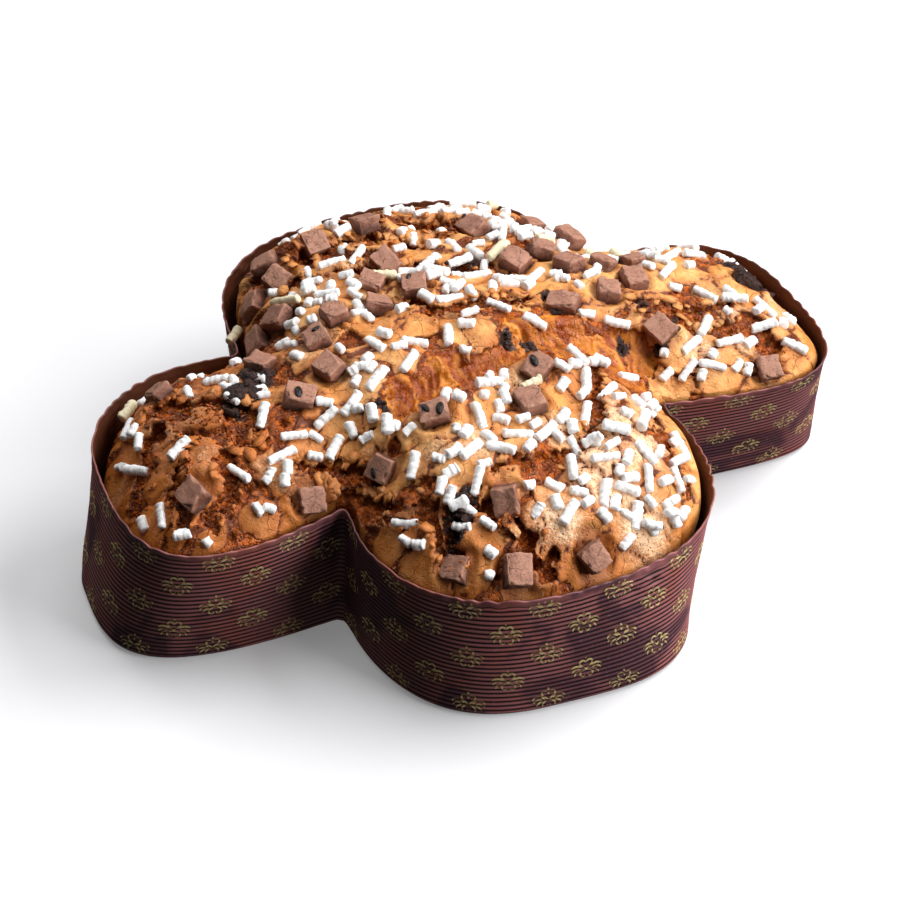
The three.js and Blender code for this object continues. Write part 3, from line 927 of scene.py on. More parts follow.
    def relief(self, tree: Tree, masks: Sockets) -> NodeSocket:
        """Fine grain on the glaze, clumps in the crumb, and every kind of hole and crack."""
        open_crumb = tree.most(masks["crumb"], masks["melt"])
        bubbly = tree.times(masks["porous"], 0.6)
        rough = tree.most(open_crumb, bubbly)
        calm = tree.minus(1.0, tree.times(masks["tear"], 0.7))
        height = tree.times(masks["grain"], 0.5)
        height = tree.plus(height, tree.times(tree.noise(3.2, 4.0, 0.6), 0.4))
        height = tree.minus(height, tree.times(masks["crumb"], 1.3))
        clumps = tree.times(tree.times(masks["clump"], rough), calm)
        height = tree.plus(height, clumps)
        holes = tree.times(masks["pores"], tree.times(rough, 0.5))
        holes = tree.plus(holes, tree.times(masks["pinholes"], 0.4))
        holes = tree.plus(holes, tree.times(masks["hairs"], 0.35))
        return tree.minus(height, holes)

    def build(self) -> Material:
        """The material."""
        finish = Finish("glazed_crust")
        tree = finish.tree
        masks = self.masks(tree)
        colour = tree.mix(masks["crumb"], self.glaze_colour(tree, masks), self.crumb_colour(tree, masks))
        colour = tree.mix(masks["outline"], colour, self.seam, 0.6)
        colour = tree.mix(masks["tear"], colour, self.dough_colour(tree, masks))
        # Painted shade: the crust darkens in a ring round the foot of each chocolate piece.
        colour = tree.mix(tree.value("foot_shade"), colour, self.dark_crumb_and_shade, 0.5)
        colour = tree.mix(masks["melt"], colour, self.burnt)
        oily = tree.times(tree.most(masks["crumb"], masks["melt"]), 0.30)
        rough = tree.plus(0.37, tree.times(masks["grain"], 0.2))
        return finish.shade(
            colour, tree.minus(rough, oily), self.relief(tree, masks), 0.8,
            Subsurface_Weight=0.08, Subsurface_Radius=(1.0, 0.45, 0.2), Subsurface_Scale=1.2 * MM,
            Specular_IOR_Level=0.38,
        )


@dataclass(frozen=True)
class SugarFinish:
    """Chalky pressed sugar, with painted shade in the hollows of its grain."""

    effects: Effects
    name: str = "pearl_sugar"
    light: Colour = linear(248, 247, 246)
    shade: Colour = linear(222, 217, 215)

    def build(self) -> Material:
        """The material."""
        finish = Finish(self.name)
        tree = finish.tree
        grain = tree.group(self.effects.grain, Size=0.8, Roughness=0.75)
        # Painted shade: the hollows of the bumped grain take the darker shade colour.
        colour = tree.mix(grain.outputs["Hollows"], self.light, self.shade, 0.8)
        rough = tree.plus(0.55, tree.times(grain.outputs["Height"], 0.3))
        return finish.shade(
            colour, rough, grain.outputs["Height"], 0.40,
            Subsurface_Weight=0.15, Subsurface_Radius=(1.0, 0.95, 0.9), Subsurface_Scale=0.6 * MM,
            Specular_IOR_Level=0.35,
        )


@dataclass(frozen=True)
class ChocolateFinish:
    """Milk chocolate that the oven has dulled, with bloom, paler edges and hairline cracks, painted light
    on its upper face and painted shade in its hollows, pits and cracks and low on its sides.
    """

    effects: Effects
    plain: Colour = linear(130, 82, 64)
    bloom_and_top_light: Colour = linear(178, 130, 108)
    deep_shade: Colour = linear(62, 33, 25)

    def build(self) -> Material:
        """The material."""
        finish = Finish("baked_milk_chocolate")
        tree = finish.tree
        grain = tree.group(self.effects.grain, Size=1.0, Roughness=0.75)
        dust = tree.group(self.effects.patches, Size=4.5, Cover=0.5, Softness=0.2).outputs[0]
        pits = tree.group(self.effects.pits, Size=1.3, Width=0.22, Share=0.35).outputs[0]
        hairs = tree.group(self.effects.crackle, Size=4.5, Width=0.14).outputs[0]
        hairs = tree.times(hairs, tree.step(0.48, 0.60, tree.noise(7.0, 2.0)))
        colour = tree.mix(dust, self.plain, self.bloom_and_top_light, 0.7)
        # Painted light: the upper face is lighter, by how the light falls on it.
        colour = tree.mix(tree.value("top"), colour, self.bloom_and_top_light, 0.5)
        # Painted shade in the hollows of the bumped grain.
        colour = tree.mix(grain.outputs["Hollows"], colour, self.deep_shade, 0.45)
        colour = tree.mix(tree.value("edge"), colour, self.bloom_and_top_light, 0.35)
        # Painted shade low on the sides, near the crust.
        colour = tree.mix(tree.value("low"), colour, self.deep_shade, 0.8)
        flaws = tree.most(pits, hairs)
        colour = tree.mix(flaws, colour, self.deep_shade, 0.6)
        height = tree.minus(grain.outputs["Height"], tree.times(flaws, 0.4))
        rough = tree.plus(0.50, tree.times(grain.outputs["Height"], 0.3))
        return finish.shade(colour, rough, height, 0.42, Specular_IOR_Level=0.35)


@dataclass(frozen=True)
class DarkFinish:
    """Chocolate that has run and set again, nearly black and part glossy."""

    effects: Effects
    name: str
    dark: Colour
    light: Colour
    gloss: float
    crags: float

    def build(self) -> Material:
        """The material."""
        finish = Finish(self.name)
        tree = finish.tree
        clumps = tree.group(self.effects.clumps, Size=1.9, Fine=1.0)
        shine = tree.group(self.effects.patches, Size=3.0, Cover=0.5, Softness=0.1).outputs[0]
        colour = tree.mix(shine, self.dark, self.light, 0.7)
        rough = tree.plus(self.gloss, tree.times(shine, 0.25))
        return finish.shade(colour, rough, clumps.outputs["Height"], self.crags, Specular_IOR_Level=0.35)


@dataclass(frozen=True)
class FloorFinish:
    """A plain pale floor that keeps its shadows light."""

    pale: Colour = linear(216, 216, 219)
    glow: float = 0.17

    def build(self) -> Material:
        """The material."""
        return Finish("pale_floor").shade(
            self.pale, 0.8, Emission_Color=(1.0, 1.0, 1.0), Emission_Strength=self.glow
        )


# ---- the paper case ----


@dataclass
class PaperCase:
    """The ribbed wall, its scalloped rim and its floor."""

    plan: Plan
    material: Material
    ribs: int = 27
    rib_depth: float = 0.42
    rows_per_rib: int = 5
    columns: int = 480
    thickness: float = 1.2
    rim_thickness: float = 0.7
    foot_round: float = 2.6
    scallop: float = 1.3
    flare: float = 0.4  # how far the rim's scallops lean out
    scallop_pitch: float = 7.4
    smooth_rim: float = 2.4  # the ribs fade out this far below the rim
    lining_depth: float = 18.0  # how far down the inside has ribs
    stretched: float = 7.0  # how far below the rim its scallops lift the paper
    rim_rows: tuple[float, ...] = (2.7, 2.0, 1.3, 0.7, 0.25)  # how far below the rim
    floor_rings: tuple[float, ...] = (0.15, 0.4, 0.65, 0.85, 0.95)  # as shares of the foot
    seam_angle: float = -141.0
    seam_width: float = 13.0
    seed: int = 300

    def rim_height(self, run: Array) -> Array:
        """The height of the scalloped edge, round the wall."""
        on_circle = self.circle(run)
        size = np.clip(0.65 + noise(on_circle, 24.0, self.seed + 2, 2), 0.15, 1.1)
        size *= 0.35 + 0.65 * ramp(30.0, -20.0, self.plan.outline(run, np.zeros(1))[..., 1])
        frayed = 0.45 * noise(on_circle, 5.0, self.seed + 3, 2)
        return self.plan.rim_height + self.scallop * (self.arcs(run) - 0.75) * size + frayed

    def arcs(self, run: Array) -> Array:
        """The scallops of the edge: 1 where one is highest and 0 between two."""
        drift = noise(self.circle(run), 26.0, self.seed + 1)
        return np.abs(np.sin(math.pi * run / self.scallop_pitch + 3.4 * drift))

    def circle(self, run: Array, height: Array | float = 0.0) -> Array:
        """A place on a round drum as long as the wall, so that noise has no seam."""
        radius = self.plan.length / (TURN)
        turn = np.asarray(run) / radius
        return np.stack(np.broadcast_arrays(radius * np.cos(turn), radius * np.sin(turn), height), axis=-1)

    def rib(self, run: Array, height: Array) -> Array:
        """1 on a rib's ridge and 0 in the groove between two."""
        pitch = self.plan.rim_height / self.ribs
        sway = 0.35 * noise(self.circle(run, height), 30.0, self.seed + 11)
        return np.abs(np.cos(math.pi * (height + sway) / pitch)) ** 0.9

    def bulge(self, run: Array, height: Array) -> Array:
        """How the paper leaves its plain form: dents, crumples near the rim and the glued seam."""
        where = self.circle(run, height)
        top, seed = self.plan.rim_height, self.seed + 20
        dents = 0.55 * noise(where, 38.0, seed + 1) + 0.16 * noise(where, 11.0, seed + 2)
        crumpled = ramp(0.15, 0.6, noise(self.circle(run), 34.0, seed + 3))
        crumpled *= ramp(top - 22, top - 6, height)
        creases = np.abs(noise(where * np.array([1.0, 1.0, 2.2]), 5.0, seed + 4)) * crumpled
        seam = run - self.plan.angle_run(self.seam_angle)
        lap = 0.45 * ramp(-0.4, 0.4, seam)
        lap *= ramp(self.seam_width + 0.4, self.seam_width - 0.4, seam)
        lean = self.flare * self.arcs(run) * ramp(top - 4.0, top, height)
        return dents - 1.3 * creases + lap + lean

    def outer(self, run: Array, height: Array, above: float = 0.0) -> Array:
        """Places on the outside of the wall.

        Args:
            run: how far round the wall.
            height: height before the scallops stretch the last stretch to the rim.
            above: how far outside the paper.
        """
        run, height = np.broadcast_arrays(run, height)
        ribbed = ramp(self.plan.rim_height - 0.8, self.plan.rim_height - self.smooth_rim, height)
        ribbed = ribbed * ramp(0.3, 1.6, height)
        depth = self.rib_depth * (1.0 - self.rib(run, height)) * ribbed
        low = np.clip(1.0 - height / self.foot_round, 0.0, 1.0)
        foot = self.foot_round * (1.0 - np.sqrt(1.0 - low**2))
        return self.moved(run, height, above - depth - foot)

    def inner(self, run: Array, height: Array) -> Array:
        """Places on the inside of the wall."""
        run, height = np.broadcast_arrays(run, height)
        stretch = self.stretch(height)
        thick = self.thickness + (self.rim_thickness - self.thickness) * stretch
        return self.moved(run, height, 0.16 * self.rib(run, height) * (1.0 - stretch) - thick)

    def stretch(self, height: Array) -> Array:
        """How much of a scallop's height the paper has at a height."""
        return ramp(self.plan.rim_height - self.stretched, self.plan.rim_height, height)

    def moved(self, run: Array, height: Array, outwards: Array) -> Array:
        """Places on the wall, lifted with the scallops and moved outwards, with the paper's bulges."""
        lifted = height + (self.rim_height(run) - self.plan.rim_height) * self.stretch(height)
        settle = ramp(0.0, 12.0, height)
        return self.plan.wall(run, lifted, outwards + self.bulge(run, height) * settle)

    def build(self) -> Object:
        """Makes the case, which stands for its solid."""
        parts = MeshParts()
        top = self.plan.rim_height
        fine = np.arange(2 * self.columns) * self.plan.length / (2 * self.columns)
        wide = fine[::2]
        rows = np.linspace(0.0, top - 3.4, self.ribs * self.rows_per_rib - 7)
        near_rim = top - np.array(self.rim_rows)[:, None]

        under = [self.plan.wall(wide[::2], np.zeros(1), -self.foot_round) * np.array([s, s, 1.0])
                 for s in self.floor_rings]
        floor = [parts.add(ring, rib=0.6, inside=0.0) for ring in under]
        parts.fan(floor[0][::-1], parts.add(np.zeros(3), rib=0.6, inside=0.0))
        for inner_ring, outer_ring in zip(floor[:-1], floor[1:]):
            parts.band(inner_ring[::-1], outer_ring[::-1])
        outside = parts.add(self.outer(wide, rows[:, None]), rib=self.rib(wide, rows[:, None]), inside=0.0)
        parts.band(outside[0][::-1], floor[-1][::-1])
        parts.rings(outside)
        rim = parts.add(self.outer(fine, near_rim), rib=0.8, inside=0.0)
        parts.band(rim[0][::-1], outside[-1][::-1])
        parts.rings(rim)

        edge_points = 0.5 * (self.outer(fine, np.full(1, top)) + self.inner(fine, np.full(1, top)))
        edge = parts.add(edge_points, rib=0.9, inside=0.4)
        parts.band(rim[-1], edge)
        inside_rim = parts.add(self.inner(fine, near_rim[::-1]), rib=0.8, inside=1.0)
        parts.band(edge, inside_rim[0])
        parts.rings(inside_rim)
        lining_rows = np.concatenate([
            np.linspace(top - 3.4, top - self.lining_depth, 34),
            np.linspace(top - self.lining_depth - 4, self.thickness, 8),
        ])[:, None]
        lining = parts.add(self.inner(wide, lining_rows), rib=0.8, inside=1.0)
        parts.band(inside_rim[-1], lining[0])
        parts.rings(lining)
        parts.fan(lining[-1], parts.add(np.array([0.0, 0.0, self.thickness]), rib=0.8, inside=1.0))
        made = parts.build("ribbed_case", self.material, Slot.PAPER)
        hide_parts("paper_case")
        return made


@dataclass(frozen=True)
class Stroke:
    """One pen stroke of the ornament: points across and up from its middle, and its width."""

    width: float
    points: tuple[tuple[float, float], ...]
    blunt: bool = False

    def path(self, spacing: float) -> tuple[Array, Array]:
        """Its smooth centre line and its half width along it."""
        ends = np.array([self.points[0], *self.points, self.points[-1]], dtype=float)
        curve = []
        for a, b, c, d in zip(ends[:-3], ends[1:-2], ends[2:-1], ends[3:]):
            steps = max(2, round(float(np.linalg.norm(c - b)) / spacing))
            share = np.arange(steps)[:, None] / steps
            curve.append(through(a, b, c, d, share))
        line = np.concatenate([*curve, ends[-1:]])
        along = np.linspace(-1.0, 1.0, len(line))
        taper = (1.0 - np.abs(along) ** (9 if self.blunt else 3)) ** 0.5
        return line, 0.5 * self.width * np.maximum(taper, 0.3)


@dataclass
class GoldPrint:
    """A traditional scroll ornament printed in staggered columns round the wall."""

    case: PaperCase
    material: Material
    column_pitch: float = 13.8
    row_pitch: float = 23.0
    first_height: float = 6.0
    spacing: float = 0.5
    ink: float = 0.11  # how far the ink stands off the paper, clear of its facets
    scale: float = 0.86
    weight: float = 1.1  # how much the strokes spread in the paper
    strokes: tuple[Stroke, ...] = (
        Stroke(0.62, (
            (0.0, 3.1), (0.5, 4.5), (1.5, 5.1), (2.5, 4.4), (2.6, 3.0), (2.0, 1.9), (1.0, 0.8), (0.1, -0.2),
        )),
        Stroke(0.50, ((2.5, 2.9), (2.7, 2.0), (3.3, 1.7))),
        Stroke(0.66, ((1.7, 0.4), (2.9, 1.8), (4.5, 2.3), (6.0, 1.5), (6.5, 0.4))),
        Stroke(0.60, ((2.6, -0.1), (4.0, 0.5), (5.3, -0.1), (6.2, -1.4))),
        Stroke(0.60, ((2.5, -1.0), (3.7, -1.3), (4.7, -2.4), (5.0, -3.6))),
        Stroke(0.58, (
            (0.4, -0.7), (1.6, -1.2), (2.5, -2.3), (2.4, -3.8), (1.5, -4.6), (0.7, -4.2), (0.5, -3.3),
        )),
    )
    dots: tuple[Stroke, ...] = (
        Stroke(1.0, ((-0.45, 6.2), (0.0, 6.2), (0.45, 6.2)), blunt=True),
        Stroke(0.9, ((-0.5, -0.3), (0.0, -0.3), (0.5, -0.3)), blunt=True),
    )

    def ribbon(self, line: Array, half: Array) -> Array:
        """One stroke as a ribbon that is three points wide, around and up from the motif's middle."""
        ahead = np.gradient(line, axis=0)
        ahead /= np.maximum(np.linalg.norm(ahead, axis=1, keepdims=True), 1e-9)
        across = np.stack([-ahead[:, 1], ahead[:, 0]], axis=1)
        return line[:, None] + across[:, None] * (half[:, None] * np.array([-1.0, 0.0, 1.0]))[..., None]

    def motif(self) -> list[Array]:
        """All ribbons of one ornament."""
        paths = []
        for stroke in self.strokes:
            line, half = stroke.path(self.spacing)
            half = half * self.weight
            paths.append((line, half))
            paths.append(((line * np.array([-1.0, 1.0]))[::-1], half[::-1]))
        paths += [dot.path(0.3) for dot in self.dots]
        return [self.ribbon(self.scale * line, half) for line, half in paths]

    def middles(self) -> Array:
        """The middle of every ornament: how far round the wall, and its height."""
        columns = 2 * round(self.case.plan.length / self.column_pitch / 2)
        places = []
        for column in range(columns):
            run = column * self.case.plan.length / columns
            start = self.first_height - (self.row_pitch / 2 if column % 2 else 0.0)
            places += [(run, start + row * self.row_pitch) for row in range(3 + column % 2)]
        return np.array(places)

    def build(self) -> Object:
        """Makes the print, as one mesh of ribbons, cut off at the foot and the rim."""
        parts = MeshParts()
        top = self.case.plan.rim_height - 1.0
        middles = self.middles()
        for ribbon in self.motif():
            flat = middles[:, None, None] + ribbon
            around, height = flat[..., 0], flat[..., 1]
            kept = ((height > 2.4) & (height < top)).all(axis=2)
            points = self.case.outer(around, np.clip(height, 2.0, top), self.ink)
            numbers = parts.add(points, rib=self.case.rib(around, height))
            whole = kept[:, :-1] & kept[:, 1:]
            for k in (0, 1):
                low, high = numbers[..., k], numbers[..., k + 1]
                parts.face(low[:, :-1][whole], low[:, 1:][whole], high[:, 1:][whole], high[:, :-1][whole])
        return parts.build("gold_print", self.material, Slot.GOLD)


# ---- the cake ----


@dataclass
class CakeCrust:
    """The cake's whole skin, with plates of glaze, splits, a torn middle and burnt places."""

    surface: TopSurface
    material: Material
    chunks: Array  # where the chocolate pieces lie on the plan
    columns: int = 960
    rings: int = 126
    plate_size: float = 15.0
    chip_size: float = 6.5
    side_rows: tuple[float, ...] = (1.7, 20.0, 34.0, 41.0)  # heights of the rings down the side
    steepness: float = 0.9  # how much of a split's depth its torn edge drops at once
    seed: int = 500
    melts: Zones = round_zones(
        (-84, 4, 4.6), (-78, 7, 4.4), (-72, 12, 4.4), (-74, 18, 3.4),
        (-36, -72, 3.4), (-32, -69, 2.8), (-39, -77, 2.6),
        (119, 11, 4.8), (122, 4, 3.8), (123, -4, 3),
        (32, 65, 2.2), (31, 60, 2), (22, 38, 2), (13, 38, 2), (12, -10, 2.6),
        (19, -12, 2.2), (35, 7, 2), (36, -1, 2.2), (68.5, -7, 2.4), (75, -18, 2.2),
        (67, -23, 2.2), (54.5, -18, 2), (-40, -20.5, 2.2), (-20, 88, 2.4),
    )
    bare: Zones = round_zones(
        (-39, 11, 5), (-14, -1.5, 5.5), (-47, -33, 5.5), (82, -10, 6), (75.5, -42, 4.5),
        (-99, 1, 7), (-13, -103, 4.5), (22, 68, 6.5), (-85, -11, 6.5), (-44, -59, 6),
        (-62, 2, 5), (60, 54, 5), (95, 28, 5), (-88, 34, 5), (2, 92, 6),
    )
    doughs: Zones = round_zones(
        (-14, -15, 7), (18, -9, 7), (32, -9, 8), (24, -25, 6), (45, -30, 8), (52, -34, 5),
        (-33, -17, 5),
    )
    porous_zones: Zones = round_zones(
        (14, -76, 11, 0.9), (21, -93, 9, 0.8), (-7, -88, 7, 0.8), (33, -69, 10, 0.85),
        (6, -32, 8, 0.6), (28, -57, 8, 0.7), (9, -56, 8, 0.6), (92, -8, 8, 0.7),
        (100, -24, 8, 0.7), (81, -28, 7, 0.6), (-19, -52, 7, 0.6), (-33, -50, 6, 0.5),
        (58, -26, 6, 0.5), (-70, -30, 10, 0.4), (-20, 52, 12, 0.5), (60, 30, 14, 0.4),
        (-100, -12, 9, 0.4), (88, 34, 9, 0.5),
    )
    gaps: tuple[Dip, ...] = (
        Dip(180, 3.2, 16), Dip(143, 2.6, 12), Dip(0, 2.4, 10), Dip(-66, 1.8, 12), Dip(112, 2.2, 14),
    )

    def split_places(self, points: Array, jagged: Array) -> tuple[Array, Array, Array]:
        """How the splits open, with torn edges steeper than the solid's.

        Args:
            points: places on the plan.
            jagged: the same places, moved about so that edges are ragged.

        Returns:
            Where crumb shows, how near a torn edge lies, and what the torn edges add to the height.
        """
        islands = ramp(0.06, 0.16, noise(points, 9.0, self.seed + 61, 2))
        crumb = np.zeros(points.shape[:-1])
        edges, height = crumb.copy(), crumb.copy()
        for split in SPLITS:
            share = split.distance(jagged) / split.width
            opened = 1.0 - ramp(0.36, 0.44, share)
            if split is not TEAR:
                opened *= 1.0 - islands * ramp(7.0, 12.0, split.width)
                height += split.depth * (split.share(points) - self.steepness * opened)
            crumb = np.maximum(crumb, opened)
            edges = np.maximum(edges, ramp(0.36, 0.46, share) * (1.0 - ramp(0.46, 0.72, share)))
        crumb = np.maximum(crumb, ramp(0.34, 0.44, strongest(self.doughs, jagged)))
        for zone in self.bare:
            opened = ramp(0.56, 0.66, zone.strength(jagged)) * (1.0 - islands)
            height -= 1.5 * opened * (1.0 - crumb)
            crumb = np.maximum(crumb, opened)
        return crumb, edges, height

    def plates(self, points: Array) -> tuple[Array, Array, Array, Array]:
        """The plates that the glaze has cracked into.

        Returns:
            The cracks between them, where those gape, how near one lies, and the height of the plates.
        """
        seed = self.seed
        moved = warped(warped(points, 16.0, 4.5, seed + 5), 4.0, 1.7, seed + 6)
        first, second, offset, key = scattered(moved, self.plate_size, seed + 9)
        gap = 0.5 * (second - first)
        half = 0.20 + 2.3 * ramp(0.05, 0.6, noise(points, 26.0, seed + 11))
        crack = 1.0 - ramp(0.5 * half, half + 0.15, gap)
        gaping = crack * ramp(0.7, 1.3, half)
        chip_first, chip_second, _, chip_key = scattered(moved, self.chip_size, seed + 12)
        chip_gap = 0.5 * (chip_second - chip_first)
        chipped = ramp(-0.15, 0.35, noise(points, 22.0, seed + 14))
        turn = TURN * key
        tilt = (offset[..., 0] * np.cos(turn) + offset[..., 1] * np.sin(turn)) * 0.07
        height = 1.4 * (np.mod(key * 7.3, 1.0) - 0.5) + tilt + 0.4 * np.exp(-gap / 1.5)
        height *= ramp(0.0, 0.7, gap)
        height += 0.5 * chipped * (np.mod(chip_key * 5.1, 1.0) - 0.5) * ramp(0.0, 0.8, chip_gap)
        height -= 0.7 * crack + 0.8 * gaping
        height -= 0.3 * chipped * (1.0 - ramp(0.1, 0.45, chip_gap))
        near = np.exp(-np.maximum(gap - half, 0.0) / 0.8)
        return crack, gaping, near, height

    def values(self, points: Array) -> dict[str, Array]:
        """What the crust is like at places on the plan, as masks from 0 to 1, and its fine height."""
        seed = self.seed
        jagged = warped(warped(points, 9.0, 2.4, seed), 3.0, 1.3, seed + 3)
        crumb, edges, height = self.split_places(points, jagged)
        crack, gaping, near, plate = self.plates(points)
        tear = 1.0 - ramp(0.30, 0.44, TEAR.distance(jagged) / TEAR.width)
        tear = np.maximum(tear, ramp(0.50, 0.66, strongest(self.doughs, jagged)))
        melt = strongest(self.melts, jagged)
        porous = 0.42 * ramp(0.0, 0.5, noise(points, 30.0, seed + 15, 2))
        porous = np.maximum(porous, strongest(self.porous_zones, jagged))

        x, y = points[..., 0], points[..., 1]
        nearest = np.min([np.hypot(x - centre[0], y - centre[1]) for centre in self.chunks], axis=0)
        nearest = nearest + 0.8 * noise(points, 4.0, seed + 19)
        # A ring round the foot of each chocolate piece: the crust dips there, and its shader paints shade
        # on it; a raised collar lies beyond.
        foot_shade = 1.0 - ramp(5.4, 7.8, nearest)
        collar = np.exp(-(((nearest - 8.4) / 1.5) ** 2))

        terrace, cliff = self.terraces(points)
        crumb = np.maximum(np.maximum(crumb, gaping), cliff)
        rough = np.maximum(crumb, melt)
        ridged = 1.0 - 2.0 * np.abs(noise(points, 4.4, seed + 21, 3))
        bubbles, _, _, own = scattered(points, 2.3, seed + 23)
        pits = (1.0 - ramp(0.25, 0.95, bubbles)) * (own > 0.45)
        drawn = warped(warped(points, 13.0, 5.0, seed + 25), 4.5, 1.6, seed + 26)
        strand = noise(self.across_tear(drawn), 1.0, seed + 27, 3)
        height += plate * (1.0 - 0.8 * crumb) + terrace
        height += 0.7 * noise(points, 15.0, seed + 29, 2) + 0.3 * noise(points, 6.5, seed + 31, 2)
        height += rough * (1.3 * ridged - 0.9) * (1.0 - 0.8 * tear) + 0.5 * edges
        height += 0.8 * collar * (1.0 - crumb) - 0.8 * foot_shade
        height -= 0.55 * pits * np.maximum(porous, 0.7 * rough)
        web = np.abs(noise(drawn, 5.5, seed + 39, 2))
        height += tear * (0.9 * strand + noise(points, 12.0, seed + 33) - 1.3 * web)
        height += 1.6 * melt * np.abs(noise(points, 4.5, seed + 35, 3))
        drift = 14.0 * noise(points, 24.0, seed + 37)
        tail_bake = 0.75 * ramp(-48.0, -92.0, x + drift)
        bake = np.maximum(tail_bake, 0.6 * ramp(-62.0, -96.0, y + drift + 0.5 * x))
        return {
            "crumb": crumb, "tear": tear, "melt": melt, "crack": crack, "porous": porous * (1.0 - crumb),
            "foot_shade": foot_shade, "near": np.maximum(near, 0.8 * edges), "strand": 0.35 + 0.4 * strand + 0.5 * web,
            "bake": bake, "height": height,
        }

    @staticmethod
    def across_tear(points: Array) -> Array:
        """Places measured so that noise makes strands across the torn middle."""
        along = points[..., 0] * 0.97 + points[..., 1] * 0.25
        across = points[..., 1] * 0.97 - points[..., 0] * 0.25
        return np.stack([along / 3.2, across / 20.0], axis=-1)

    def terraces(self, points: Array) -> tuple[Array, Array]:
        """Layers of crumb that step up across the back wing: their height, and where they break off."""
        x, y = points[..., 0], points[..., 1]
        within = ramp(44.0, 54.0, y + 0.25 * np.abs(x))
        within = within * ramp(40.0, 20.0, x) * ramp(104.0, 92.0, y)
        rise = (y + 0.30 * x + 4.0 * noise(points, 15.0, self.seed + 41, 2)) / 8.5
        share = np.mod(rise, 1.0)
        kept = within * ramp(-0.25, 0.25, noise(points, 17.0, self.seed + 43))
        height = 2.4 * (ramp(0.0, 0.12, share) - share) * kept
        cliff = np.maximum(ramp(0.62, 0.74, share), ramp(0.16, 0.08, share)) * kept
        return height, cliff

    def edge(self, run: Array) -> Array:
        """The ring where the crust leaves the paper."""
        rough = self.surface.plan.wall(run, np.full(run.shape, 50.0), -self.surface.inset)
        angle = np.degrees(np.arctan2(rough[:, 1], rough[:, 0]))
        gap = 0.25 + 0.35 * noise(rough[:, :2], 12.0, self.seed + 51)
        for dip in self.gaps:
            gap += dip.at(angle)
        contact = self.surface.contact_height(rough[:, :2])
        return self.surface.plan.wall(run, contact, -self.surface.inset - np.maximum(gap, 0.0))

    def top_points(self, flat: Array, near_edge: Array) -> tuple[Array, dict[str, Array]]:
        """Places of the top with its fine relief, and what the crust is like there."""
        values = self.values(flat)
        fine = values.pop("height") * near_edge
        normal = self.surface.normal(flat, 1.2)
        base = np.concatenate([flat, self.surface.height(flat)[..., None]], axis=-1)
        return base + normal * fine[..., None], values

    def side(self, parts: MeshParts, run: Array, edge: Array) -> Array:
        """Adds the foot and the side, hidden by the paper, and gives back its highest ring."""
        inset = -self.surface.inset
        inward = edge[:, :2] - self.surface.plan.wall(run, edge[:, 2], inset)[:, :2]
        rings = []
        for height in self.side_rows:
            ring = self.surface.plan.wall(run, np.full(self.columns, height), inset)
            ring[:, :2] += inward
            ring[:, 2] = np.minimum(height, edge[:, 2] - 4.0)
            rings.append(parts.add(ring, crumb=0.75, **PLAIN))
        parts.fan(rings[0][::-1], parts.add(np.array([0.0, 0.0, self.side_rows[0]]), crumb=0.75, **PLAIN))
        parts.rings(np.stack(rings))
        return rings[-1]

    def build(self) -> Object:
        """Makes the cake, which stands for its solid."""
        parts = MeshParts()
        run = np.arange(self.columns) * self.surface.plan.length / self.columns
        edge = self.edge(run)
        last = self.side(parts, run, edge)
        shares = 1.0 - np.arange(self.rings) / self.rings
        finer = [self.columns, self.columns // 2]
        counts = np.select([shares > 0.46, shares > 0.22], finer, self.columns // 4)
        flat = [edge[:: self.columns // count, :2] * share for share, count in zip(shares, counts)]
        depth = np.repeat(1.0 - shares, counts)
        points, values = self.top_points(np.concatenate(flat), ramp(0.0, 0.035, depth))
        points[: self.columns, 2] = edge[:, 2]
        numbers = parts.add(points, **values)
        for ring in np.split(numbers, np.cumsum(counts)[:-1]):
            parts.band(last, ring)
            last = ring
        middle, values = self.top_points(np.zeros((1, 2)), np.ones(1))
        parts.fan(last, parts.add(middle, **values))
        made = parts.build("cake_crust", self.material, Slot.CRUST)
        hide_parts("cake")
        return made


